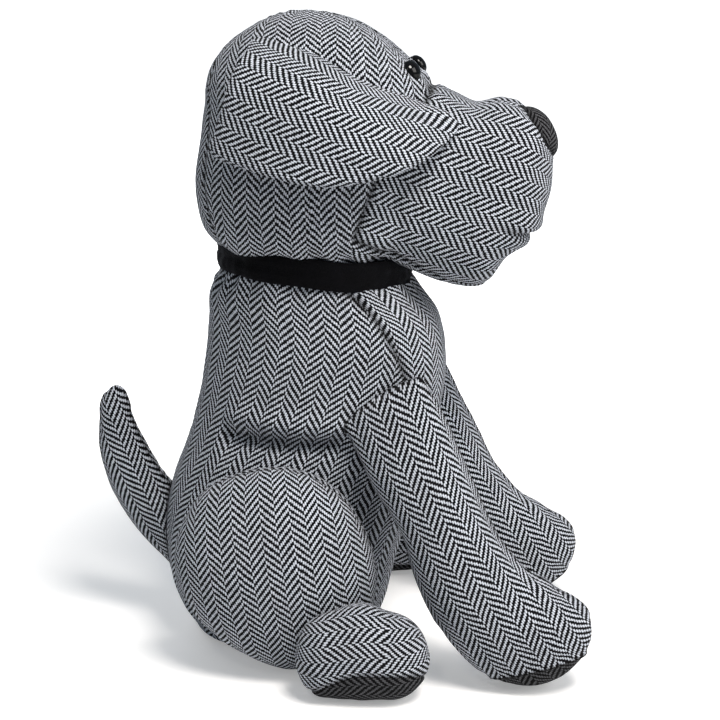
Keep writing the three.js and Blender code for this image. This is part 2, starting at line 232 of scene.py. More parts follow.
def beadMaterial():
    material, tree, shader = newMaterial("bead")
    dust = noiseOf(tree, addNode(tree, "ShaderNodeTexCoord").outputs["Object"], 900.0, 3.0)
    colour = mixColour(tree, dust, (0.0008, 0.0008, 0.001, 1), (0.003, 0.0028, 0.0025, 1))
    rough = maths(tree, "MULTIPLY_ADD", dust, 0.09, 0.04)
    feed(tree, shader, {"Base Color": colour, "Roughness": rough, "Specular IOR Level": 0.35})
    return material


bead = beadMaterial()


def canvasMaterial():
    material, tree, shader = newMaterial("canvas")
    place = addNode(tree, "ShaderNodeTexCoord").outputs["Object"]
    yarns = {"Vector": place, "Scale": 320.0, "Distortion": 0.6}
    warp = addNode(tree, "ShaderNodeTexWave", yarns, bands_direction="Z")
    weft = addNode(tree, "ShaderNodeTexWave", yarns, bands_direction="X")
    weave = maths(tree, "MAXIMUM", warp.outputs["Fac"], weft.outputs["Fac"])
    colour = mixColour(tree, weave, (0.3, 0.25, 0.18, 1), (0.6, 0.54, 0.42, 1))
    bump = addNode(tree, "ShaderNodeBump", {"Height": weave, "Strength": 0.6, "Distance": 0.0004})
    feed(tree, shader, {"Base Color": colour, "Normal": bump.outputs[0], "Roughness": 0.9})
    return material


canvas = canvasMaterial()


def setStage():
    studio = {
        "floorSize": 6.0,
        "key": {"at": (0.45, -0.6, 1.4), "size": 0.5, "power": 22, "colour": (1, 0.95, 0.9)},
        "front": {"at": (1.3, -0.5, 0.9), "size": 0.9, "power": 10, "colour": (1, 0.97, 0.94)},
        "back": {"at": (-0.6, 1.3, 0.6), "size": 1.0, "power": 9, "colour": (0.97, 0.98, 1)},
        "glint": {"at": (-0.25, -1.1, 1.15), "size": 0.09, "power": 1.3, "colour": (1, 0.93, 0.8)},
        "sky": (0.72, 0.86, 1.0),
        "skyStrength": 0.21,
        "floorGlow": (0.3, 1.0),
        "glowRadius": (0.22, 0.6),
        "aim": (0.03, 0, 0.13),
    }
    bm = bmesh.new()
    bmesh.ops.create_grid(bm, x_segments=1, y_segments=1, size=studio["floorSize"])
    mesh = bpy.data.meshes.new("floor")
    bm.to_mesh(mesh)
    bm.free()
    floor = bpy.data.objects.new("floor", mesh)
    bpy.context.collection.objects.link(floor)
    material, tree, shader = newMaterial("floor")
    feed(tree, shader, {"Base Color": (0.9, 0.9, 0.9, 1), "Roughness": 0.9})
    rays = addNode(tree, "ShaderNodeLightPath")
    glow = addNode(tree, "ShaderNodeEmission", {"Color": (1, 1, 1, 1)})
    spot = addNode(tree, "ShaderNodeTexCoord").outputs["Object"]
    away = addNode(tree, "ShaderNodeVectorMath", {0: spot}, operation="LENGTH").outputs["Value"]
    level = addNode(
        tree, "ShaderNodeMapRange",
        {
            "Value": away, "From Min": studio["glowRadius"][0], "From Max": studio["glowRadius"][1],
            "To Min": studio["floorGlow"][0], "To Max": studio["floorGlow"][1],
        },
        interpolation_type="SMOOTHSTEP",
    ).outputs[0]
    tree.links.new(maths(tree, "MULTIPLY", rays.outputs["Is Camera Ray"], level), glow.inputs["Strength"])
    both = addNode(tree, "ShaderNodeAddShader", {0: shader.outputs[0], 1: glow.outputs[0]})
    tree.links.new(both.outputs[0], tree.nodes["Material Output"].inputs["Surface"])
    mesh.materials.append(material)
    world = bpy.data.worlds.new("studio")
    bpy.context.scene.world = world
    world.use_nodes = True
    tree = world.node_tree
    tree.nodes.clear()
    rays = addNode(tree, "ShaderNodeLightPath")
    seen = maths(tree, "MAXIMUM", rays.outputs["Is Camera Ray"], rays.outputs["Is Transmission Ray"])
    sky = {"Color": (*studio["sky"], 1), "Strength": studio["skyStrength"]}
    light = addNode(tree, "ShaderNodeBackground", sky)
    shown = addNode(tree, "ShaderNodeBackground", {"Color": (1, 1, 1, 1), "Strength": 1.0})
    mixed = addNode(tree, "ShaderNodeMixShader", {0: seen, 1: light.outputs[0], 2: shown.outputs[0]})
    addNode(tree, "ShaderNodeOutputWorld", {"Surface": mixed.outputs[0]})
    for name in ("key", "front", "back", "glint"):
        values = studio[name]
        lamp = bpy.data.lights.new(name, "AREA")
        lamp.shape = "SQUARE"
        lamp.size = values["size"]
        lamp.energy = values["power"]
        lamp.color = values["colour"]
        lampObject = bpy.data.objects.new(name, lamp)
        lampObject.location = values["at"]
        aim = Vector(studio["aim"]) - Vector(values["at"])
        lampObject.rotation_euler = aim.to_track_quat("-Z", "Y").to_euler()
        bpy.context.collection.objects.link(lampObject)


setStage()
print("stage and materials are ready")


def throughPoints(points, share):
    # a smooth line through the points, at shares of its length from 0 to 1
    points = np.asarray(points, float)
    line = np.vstack([2 * points[0] - points[1], points, 2 * points[-1] - points[-2]])
    place = np.clip(share, 0, 1) * (len(points) - 1)
    first = np.minimum(place.astype(int), len(points) - 2)
    t = (place - first)[:, None]
    a, b, c, d = (line[first + k] for k in range(4))
    return 0.5 * (2 * b + (c - a) * t + (2 * a - 5 * b + 4 * c - d) * t**2 + (3 * b - a - 3 * c + d) * t**3)


def roundOutline(points, share):
    # a closed smooth line through the points
    points = np.asarray(points, float)
    place = (share % 1) * len(points)
    first = np.floor(place).astype(int)
    t = (place - first)[:, None]
    a, b, c, d = (points[(first + k) % len(points)] for k in (-1, 0, 1, 2))
    gaps = [np.linalg.norm(q - p, axis=1)[:, None] ** 0.5 for p, q in ((a, b), (b, c), (c, d))]
    leave = ((b - a) / gaps[0] - (c - a) / (gaps[0] + gaps[1]) + (c - b) / gaps[1]) * gaps[1]
    arrive = ((c - b) / gaps[1] - (d - b) / (gaps[1] + gaps[2]) + (d - c) / gaps[2]) * gaps[1]
    return b + leave * t + (3 * (c - b) - 2 * leave - arrive) * t**2 + (2 * (b - c) + leave + arrive) * t**3


def roundedSquare(angle, squareness):
    power = 2 / squareness
    c, s = np.cos(angle), np.sin(angle)
    return np.sign(c) * np.abs(c) ** power, np.sign(s) * np.abs(s) ** power


capShare = 0.22  # the share of a stuffed shape's rings in each rounded end
alongX = (np.array([0.0, 1, 0]), np.array([0.0, 0, 1]))
alongZ = (np.array([1.0, 0, 0]), np.array([0.0, 1, 0]))


def stuffedForm(centres, halves, startCap, endCap, squareness, domeSquareness=None, plane=None):
    startCap, endCap = np.asarray(startCap, float), np.asarray(endCap, float)

    def shape(turn, travel):
        line = np.clip((travel - capShare) / (1 - 2 * capShare), 0, 1)
        start = travel < capShare
        depth = np.clip(np.maximum(capShare - travel, travel - 1 + capShare), 0, None) / capShare
        shrink, reach = roundedSquare(depth * np.pi / 2, domeSquareness or squareness)
        centre, half = throughPoints(centres, line), throughPoints(halves, line)
        if plane is None:
            step = throughPoints(centres, line + 0.09) - throughPoints(centres, line - 0.09)
            u = np.cross(step, [0.0, 1, 0])
            u /= np.linalg.norm(u, axis=1)[:, None]
            v = np.broadcast_to([0.0, 1, 0], u.shape)
        else:
            u, v = (np.broadcast_to(axis, centre.shape) for axis in plane)
        across, up = roundedSquare(2 * np.pi * turn, squareness)
        cap = np.where(start[:, None], startCap, endCap)
        return (
            centre
            + cap * reach[:, None]
            + u * (shrink * across * half[:, 0])[:, None]
            + v * (shrink * up * half[:, 1])[:, None]
        )

    return shape


def pillowForm(outline, centre, thickness, rimSharpness, sheet, hem=0.0):
    centre = np.asarray(centre, float)

    def shape(turn, travel):
        polar = np.pi * travel
        outward = np.sin(polar)
        point = centre + (roundOutline(outline, turn) - centre) * outward[:, None]
        half = thickness / 2 * np.sqrt(np.clip(1 - outward**rimSharpness, 0, None))
        half = half + hem * bell(outward - 0.93, 0.035)
        half = half * np.clip((1 - outward) / 0.002, 0, 1) ** 0.5
        y = sheet(point[:, 0], point[:, 1]) - np.sign(np.cos(polar)) * half
        return np.stack([point[:, 0], y, point[:, 1]], axis=1)

    return shape


def newBall(sides, rings):
    # a sphere, with each vertex's place round it and along it
    bm = bmesh.new()
    bmesh.ops.create_uvsphere(bm, u_segments=sides, v_segments=rings, radius=1)
    ball = np.array([vert.co for vert in bm.verts])
    turn = (np.arctan2(ball[:, 1], ball[:, 0]) / (2 * np.pi)) % 1
    travel = np.arccos(np.clip(-ball[:, 2], -1, 1)) / np.pi
    return bm, ball, turn, travel


def place(bm, points):
    for vert, point in zip(bm.verts, points / metre):
        vert.co = point
    bm.normal_update()


def pointsOf(bm):
    return np.array([vert.co for vert in bm.verts]) * metre


def outwardOf(bm):
    return np.array([vert.normal for vert in bm.verts])


def bell(distance, width):
    return np.exp(-((distance / width) ** 2))


def relax(bm, points, part, steps):
    # rounds off the chosen part of a form
    place(bm, points)
    verts = [vert for vert, own in zip(bm.verts, part) if own]
    for _ in range(steps):
        bmesh.ops.smooth_vert(bm, verts=verts, factor=0.5, use_axis_x=True, use_axis_y=True, use_axis_z=True)
    bm.normal_update()
    return pointsOf(bm)


def toLine(points, line):
    # each point's distance from a line of points, and how far along the line it is
    line = np.asarray(line, float)
    nearest = np.full(len(points), 1e9)
    along = np.zeros(len(points))
    before = 0.0
    for start, end in zip(line[:-1], line[1:]):
        span = end - start
        length = np.linalg.norm(span)
        share = np.clip((points - start) @ span / length**2, 0, 1)
        distance = np.linalg.norm(points - start - share[:, None] * span, axis=1)
        near = distance < nearest
        nearest[near] = distance[near]
        along[near] = before + share[near] * length
        before += length
    return nearest, along


def smoothLine(points, count=40):
    return throughPoints(points, np.linspace(0, 1, count))


def lumps(points, size, seed):
    offset = Vector((seed, 2.3 * seed, -seed))
    return np.array([noise.noise(Vector(p) / size + offset) for p in points])


def unevenness(points, waves):
    # the lumps of a filling, each as a height, a size and a seed
    return sum(height * lumps(points, size, seed) for height, size, seed in waves)


def ease(low, high, value):
    share = np.clip((value - low) / (high - low), 0, 1)
    return share * share * (3 - 2 * share)


# A seam sinks into the cloth along a line and gathers small folds on both sides, and its groove is given
# painted shade.
def sewSeam(
    points, normals, seamShade, line, depth=1.1, width=1.2, folds=0.45, spacing=7.0, reach=7.0, seed=0.0,
    side=True,
):
    reference = points.copy()
    if side:
        reference[:, 1] = -np.abs(reference[:, 1])
    distance, along = toLine(reference, line)
    groove = bell(distance, width)
    near = bell(distance, reach) * (1 - groove)
    wave = np.sin(2 * np.pi * along / spacing + 1.7 * np.sin(0.23 * along + seed))
    wave = wave * (0.55 + 0.45 * np.sin(0.11 * along + 2 * seed))
    moved = points + normals * (folds * near * wave - depth * groove)[:, None]
    return moved, np.maximum(seamShade, groove)


# How the cloth lies on a form: distance round it from a middle line, and distance along it.
def clothField(shape, middle, spread=0.62, steps=180, rows=140):
    offsets = np.linspace(-spread, spread, 2 * steps + 1)
    travels = np.linspace(0, 1, rows + 1)
    grid = shape((middle + np.tile(offsets, rows + 1)) % 1, np.repeat(travels, len(offsets)))
    grid = grid.reshape(rows + 1, len(offsets), 3)
    around = np.cumsum(np.linalg.norm(np.diff(grid, axis=1), axis=2), axis=1)
    around = np.hstack([np.zeros((rows + 1, 1)), around])
    around -= around[:, steps : steps + 1]
    ahead = np.concatenate([[0], np.cumsum(np.linalg.norm(np.diff(grid[:, steps], axis=0), axis=1))])

    def field(offset, travel):
        column = np.clip((offset + spread) / spread * steps, 0, 2 * steps - 1e-6)
        row = np.clip(travel * rows, 0, rows - 1e-6)
        c, r = column.astype(int), row.astype(int)
        cs, rs = column - c, row - r
        low = around[r, c] * (1 - cs) + around[r, c + 1] * cs
        high = around[r + 1, c] * (1 - cs) + around[r + 1, c + 1] * cs
        return np.stack([low * (1 - rs) + high * rs, np.interp(travel, travels, ahead)], axis=1)

    return field


# The cloth on a pillow's face: distance from its middle in each direction of the side view.
def faceField(shape, outline, centre, near=True, rows=120, columns=240):
    turns = np.linspace(0, 1, columns + 1)
    travels = np.linspace(0, 1, rows + 1)
    if not near:
        travels = travels[::-1]
    grid = shape(np.tile(turns, rows + 1) % 1, np.repeat(travels, columns + 1))
    grid = grid.reshape(rows + 1, columns + 1, 3)
    lengths = np.cumsum(np.linalg.norm(np.diff(grid, axis=0), axis=2), axis=0)
    lengths = np.vstack([np.zeros((1, columns + 1)), lengths])
    rim = roundOutline(outline, turns) - np.asarray(centre, float)
    rim /= np.linalg.norm(rim, axis=1)[:, None]

    def field(turn, travel):
        row = np.clip((travel if near else 1 - travel) * rows, 0, rows - 1e-6)
        column = np.clip((turn % 1) * columns, 0, columns - 1e-6)
        r, c = row.astype(int), column.astype(int)
        rs, cs = row - r, column - c
        low = lengths[r, c] * (1 - cs) + lengths[r, c + 1] * cs
        high = lengths[r + 1, c] * (1 - cs) + lengths[r + 1, c + 1] * cs
        direction = rim[c] * (1 - cs)[:, None] + rim[c + 1] * cs[:, None]
        return direction * (low * (1 - rs) + high * rs)[:, None]

    return field


def cornerTables(mesh):
    vertexOf = np.empty(len(mesh.loops), dtype=np.int32)
    mesh.loops.foreach_get("vertex_index", vertexOf)
    totals = np.empty(len(mesh.polygons), dtype=np.int32)
    mesh.polygons.foreach_get("loop_total", totals)
    return vertexOf, np.repeat(np.arange(len(totals)), totals), totals


def faceMeans(values, vertexOf, faceOf, totals):
    return np.bincount(faceOf, values[vertexOf], len(totals)) / totals


def cornerTurns(mesh, turn, travel, middle):
    # each corner's place round the ring from the middle line, whole across the line where turns wrap
    vertexOf, faceOf, totals = cornerTables(mesh)
    pole = (travel < 1e-4) | (travel > 1 - 1e-4)
    weight = np.where(pole, 0, 1)
    c = faceMeans(np.cos(2 * np.pi * turn) * weight, vertexOf, faceOf, totals)
    s = faceMeans(np.sin(2 * np.pi * turn) * weight, vertexOf, faceOf, totals)
    faceTurn = np.arctan2(s, c) / (2 * np.pi)
    fromMiddle = (faceTurn - middle + 0.5) % 1 - 0.5
    fromFace = (turn[vertexOf] - faceTurn[faceOf] + 0.5) % 1 - 0.5
    fromFace = np.where(pole[vertexOf], 0, fromFace)
    return fromMiddle, fromMiddle[faceOf] + fromFace


def leaned(uv, degrees, shift=(0, 0)):
    a = math.radians(degrees)
    turned = uv @ np.array([[math.cos(a), math.sin(a)], [-math.sin(a), math.cos(a)]])
    return turned + np.asarray(shift, float)


def writeWeave(mesh, uv):
    layer = mesh.uv_layers.get("weave") or mesh.uv_layers.new(name="weave")
    layer.data.foreach_set("uv", (uv / metre).astype(np.float32).ravel())


# stores the painted shade of grooves, creases and contact lines on a piece
def writePaintedShade(mesh, shade):
    layer = mesh.attributes.new("paintedShade", "FLOAT", "POINT")
    layer.data.foreach_set("value", shade.astype(np.float32))


def meshOf(bm, name):
    bmesh.ops.recalc_face_normals(bm, faces=bm.faces)
    for face in bm.faces:
        face.smooth = True
    mesh = bpy.data.meshes.new(name)
    bm.to_mesh(mesh)
    bm.free()
    return mesh


def addPiece(name, mesh, material, nodes):
    mesh.materials.clear()
    mesh.materials.append(material)
    piece = bpy.data.objects.new(name, mesh)
    bpy.context.collection.objects.link(piece)
    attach(piece, "root")
    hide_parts(*nodes)
    return piece


def mirrorMesh(mesh, name, shift=0.0):
    # the same panel sewn for the other side
    bm = bmesh.new()
    bm.from_mesh(mesh)
    bmesh.ops.scale(bm, vec=(1, -1, 1), verts=bm.verts)
    bmesh.ops.translate(bm, vec=(shift / metre, 0, 0), verts=bm.verts)
    bmesh.ops.reverse_faces(bm, faces=bm.faces)
    other = bpy.data.meshes.new(name)
    bm.to_mesh(other)
    bm.free()
    return other


def splitMesh(mesh, seamHeight, names):
    # the part above a seam and the part below it, each closed along the cut
    parts = []
    for name, above in zip(names, (True, False)):
        bm = bmesh.new()
        bm.from_mesh(mesh)
        for sign in (-1, 1):
            heights = seamHeight(pointsOf(bm)) / metre
            for vert, height in zip(bm.verts, heights):
                vert.co.z += sign * height
            if sign == 1:
                break
            cut = bmesh.ops.bisect_plane(
                bm, geom=bm.verts[:] + bm.edges[:] + bm.faces[:], plane_co=(0, 0, 0), plane_no=(0, 0, 1),
                clear_inner=above, clear_outer=not above,
            )
            edges = [item for item in cut["geom_cut"] if isinstance(item, bmesh.types.BMEdge)]
            bmesh.ops.holes_fill(bm, edges=edges, sides=0)
        part = bpy.data.meshes.new(name)
        bm.to_mesh(part)
        bm.free()
        parts.append(part)
    return parts


neck = np.array([15.0, 0.0, 178.0])  # the head, ears, eyes, nose and collar are placed from here


def buildTorso():
    torso = {
        "sections": [  # height, middle along X, half length, half width
            (4, -0.5, 43.5, 43), (18, -2, 50, 48), (42, -1.5, 55, 50.5), (72, 5, 58.5, 49.5),
            (102, 14, 57, 47), (132, 19, 56, 45.5), (152, 18.5, 53, 43.5), (165, 14.5, 48, 41),
            (173, 14, 42.5, 37),
        ],
        "foot": 4,
        "shoulder": 7,
        "squareness": 2.25,
        "chestSeam": [
            (28, -38, 174), (33.5, -36, 169.8), (37.6, -36.5, 165.9), (42.9, -36.7, 160.6),
            (46.9, -37.3, 154.9), (50.9, -36.9, 148.5), (53.6, -36.6, 142.9), (55.8, -35.6, 137.7),
            (59, -33, 122), (58, -33, 100), (54, -33, 70), (46, -33, 40), (40, -33, 12),
        ],
        "waist": [
            (-28, -34, 106.5), (-20, -41, 105.2), (-13, -42.3, 104.3), (-2, -45.5, 103.6),
            (11.5, -46.8, 102.9), (24, -46.4, 103.1), (36, -42, 104),
        ],
        "waistDepth": 5.6,
        "waistWidth": 3.9,
        "waistReach": 16,
        "puff": {"by": 3.2, "above": 9, "size": 6},
        "drawnIn": {"by": 2.2, "above": -8, "size": 8},
        "pocket": {
            "edge": 0.158, "half": (39.3, 38.3), "wall": 104, "dome": 14, "domeSpan": 45.0, "x": -0.5,
            "recess": (3.2, 1.055), "taper": 0.16, "taperFrom": 60,
        },
        "neckFolds": 0.9,
        "lumps": [(0.8, 26, 3), (0.3, 9, 8)],
        "chestStitches": {"depth": 1.0, "width": 1.9, "folds": 0.35, "spacing": 8.5, "seed": 1},
        "backStitches": {"depth": 1.0, "folds": 0.35, "seed": 4},
        "lean": 9,
    }
    s = np.array(torso["sections"], float)
    centres = np.stack([s[:, 1], 0 * s[:, 1], s[:, 0]], axis=1)
    shape = stuffedForm(
        centres, s[:, 2:4], (0, 0, -torso["foot"]), (0, 0, torso["shoulder"]), torso["squareness"],
        plane=alongZ,
    )
    bm, _, turn, travel = newBall(232, 168)
    points = shape(turn, travel)
    place(bm, points)
    normals = outwardOf(bm)
    reference = points * [1, 0, 1] - [0, 1, 0] * np.abs(points)
    # the waist: a crease, the body puffed above it and drawn in below
    distance, along = toLine(reference, smoothLine(torso["waist"]))
    above = reference[:, 2] - np.interp(reference[:, 0], [-28, 11.5, 36], [106.5, 102.9, 104])
    ends = ease(0, 10, along) * ease(0, 10, along.max() - along)
    puff, drawnIn, near = torso["puff"], torso["drawnIn"], bell(distance, torso["waistReach"])
    pull = -torso["waistDepth"] * bell(distance, torso["waistWidth"])
    pull += puff["by"] * bell(above - puff["above"], puff["size"]) * near
    pull -= drawnIn["by"] * bell(above - drawnIn["above"], drawnIn["size"]) * near
    crease = pull * ends
    crease += 0.5 * bell(distance, 9) * np.sin(along * 2 * np.pi / 13) * ease(1, 7, above)
    # gathers under the collar
    gather = bell(173 - reference[:, 2], 9) * (reference[:, 2] < 178)
    folds = torso["neckFolds"] * gather * np.sin(2 * np.pi * turn * 19 + 1.6 * np.sin(2 * np.pi * turn * 5))
    sag = unevenness(points, torso["lumps"])
    points = points + normals * (crease + folds + sag)[:, None]
    # painted shade in the waist crease
    shade = 0.45 * ends * bell(distance, 2.2)
    chestLine = smoothLine(torso["chestSeam"], 60)
    points, shade = sewSeam(points, normals, shade, chestLine, **torso["chestStitches"])
    back = smoothLine([(x - h - 1, 0, z) for z, x, h in s[:, :3]], 60)
    points, shade = sewSeam(points, normals, shade, back, **torso["backStitches"])
    points[:, 2] = np.maximum(points[:, 2], 0)
    place(bm, points)
    torsoTree = BVHTree.FromBMesh(bm)
    # the pocket for the bag of grit: the underside turned up into the body
    pocket = torso["pocket"]
    inner = travel < pocket["edge"]
    dome = pocket["domeSpan"]
    down = travel[inner] / pocket["edge"] * (dome + pocket["wall"])
    angle = np.clip(down / dome, 0, 1) * np.pi / 2
    z = np.where(down < dome, pocket["wall"] + pocket["dome"] * np.cos(angle), pocket["wall"] + dome - down)
    across, up = roundedSquare(2 * np.pi * turn[inner], torso["squareness"])
    wide = np.sin(angle) * np.where(z < pocket["recess"][0], pocket["recess"][1], 1)
    taper = pocket["taper"] * ease(pocket["taperFrom"], pocket["wall"], z)
    wide = wide * (1 - taper)  # narrower where the waist is drawn in
    points[inner] = np.stack(
        [pocket["x"] + wide * across * pocket["half"][0], wide * up * pocket["half"][1], z], axis=1
    )
    place(bm, points)
    mesh = meshOf(bm, "bodyCloth")
    # weave: the side panels meet at the back and at the chest panel
    vertexOf, faceOf, totals = cornerTables(mesh)
    centre = [faceMeans(points[:, k], vertexOf, faceOf, totals) for k in range(3)]
    line = np.array(torso["chestSeam"], float)
    seamX = np.interp(-centre[2], -line[:, 2], line[:, 0])
    chest = (centre[0] > seamX) & (centre[0] > 25)
    uv = np.zeros((len(vertexOf), 2))
    for middle, sign in ((0.75, 1), (0.25, -1)):
        field = clothField(shape, middle)
        _, corner = cornerTurns(mesh, turn, travel, middle)
        own = (centre[1] * sign <= 0)[faceOf] & ~chest[faceOf]
        part = field(corner, travel[vertexOf]) * [sign, 1]
        uv[own] = leaned(part, torso["lean"])[own]
    field = clothField(shape, 0.0)
    _, corner = cornerTurns(mesh, turn, travel, 0.0)
    uv[chest[faceOf]] = field(corner, travel[vertexOf])[chest[faceOf]] + [3, 0]
    writeWeave(mesh, uv)
    writePaintedShade(mesh, shade)
    addPiece("bodyCloth", mesh, tweed, ["torso"])
    return torsoTree


torsoTree = buildTorso()
print("torso is sewn")


def keepOutside(points, tree, gap):
    # moves each point that is nearer than its gap to the surface out to it, and gives its first height
    moved, height = points.copy(), np.zeros(len(points))
    for k, point in enumerate(points):
        spot, normal, _, _ = tree.find_nearest(Vector(point) / metre)
        spot, normal = np.array(spot) * metre, np.array(normal)
        height[k] = (point - spot) @ normal
        if height[k] < gap[k]:
            moved[k] = point + normal * (gap[k] - height[k])
    return moved, height


def restOn(points, trees, left=False, gap=0.3):
    # presses a right piece, or the left one that is mirrored from it, against its neighbours, and gives
    # painted shade where it meets them
    flip = np.array([1, -1 if left else 1, 1])
    moved, height = points * flip, np.full(len(points), 1e3)
    for tree in trees:
        moved, above = keepOutside(moved, tree, np.full(len(points), gap))
        height = np.minimum(height, above)
    return moved * flip, 0.8 * bell(height, 1.4)


# A form as a tree for rays and nearest points, with each vertex's place on the form.
def formTree(shape, sides, rings, swell):
    bm, _, turn, travel = newBall(sides, rings)
    points = swell(shape(turn, travel))
    for vert, point in zip(bm.verts, points):
        vert.co = point
    corners = np.array([[face.verts[k % len(face.verts)].index for k in range(4)] for face in bm.faces])
    form = {"points": points, "turn": turn, "travel": travel, "corners": corners}
    form["tree"] = BVHTree.FromBMesh(bm)
    bm.free()
    return form


# Where points lie on a form, as a distance round it from a middle line and a distance along it.
def fieldOn(form, points, middle, field):
    found = [form["tree"].find_nearest(Vector(p)) for p in points]
    spots = np.array([item[0] for item in found])
    corners = form["corners"][[item[2] for item in found]]
    gaps = np.linalg.norm(form["points"][corners] - spots[:, None, :], axis=2)
    weight = 1 / (gaps**2 + 1e-4)
    weight /= weight.sum(axis=1)[:, None]
    offset = (form["turn"][corners] - middle + 0.5) % 1 - 0.5
    return field((offset * weight).sum(axis=1), (form["travel"][corners] * weight).sum(axis=1))


def ontoSurface(bm, line):
    # lays a line given in millimetres on a mesh
    tree = BVHTree.FromBMesh(bm)
    return np.array([tree.find_nearest(Vector(p) / metre)[0] for p in line]) * metre


def raysFrom(form, centre, directions):
    origin = Vector(centre)
    reach = np.zeros(len(directions))
    for k, direction in enumerate(directions):
        spot = form["tree"].ray_cast(origin, Vector(direction))[0]
        if spot is not None:
            reach[k] = (spot - origin).length
    return reach


# Lengths over a form from its side pole, in the directions of the side view.
def sideCloth(tree, centre, azimuths=96, steps=120, reach=1.66):
    around, angles = np.linspace(-np.pi, np.pi, azimuths + 1), np.linspace(0, reach, steps + 1)
    a, t = np.repeat(around, steps + 1), np.tile(angles, azimuths + 1)
    directions = np.stack([np.sin(t) * np.cos(a), -np.cos(t), np.sin(t) * np.sin(a)], axis=1)
    spots = directions * raysFrom({"tree": tree}, centre / metre, directions)[:, None] * metre
    steady = np.linalg.norm(np.diff(spots.reshape(azimuths + 1, steps + 1, 3), axis=1), axis=2)
    lengths = np.hstack([np.zeros((azimuths + 1, 1)), np.cumsum(steady, axis=1)])

    def field(points):
        local = points - centre
        angle = np.arccos(np.clip(-local[:, 1] / np.linalg.norm(local, axis=1), -1, 1))
        azimuth = np.arctan2(local[:, 2], local[:, 0])
        column = np.clip(angle / reach * steps, 0, steps - 1e-6)
        row = np.clip((azimuth + np.pi) / (2 * np.pi) * azimuths, 0, azimuths - 1e-6)
        c, r = column.astype(int), row.astype(int)
        cs, rs = column - c, row - r
        low = lengths[r, c] * (1 - cs) + lengths[r, c + 1] * cs
        high = lengths[r + 1, c] * (1 - cs) + lengths[r + 1, c + 1] * cs
        length = low * (1 - rs) + high * rs
        return np.stack([np.cos(azimuth) * length, np.sin(azimuth) * length], axis=1)

    return field


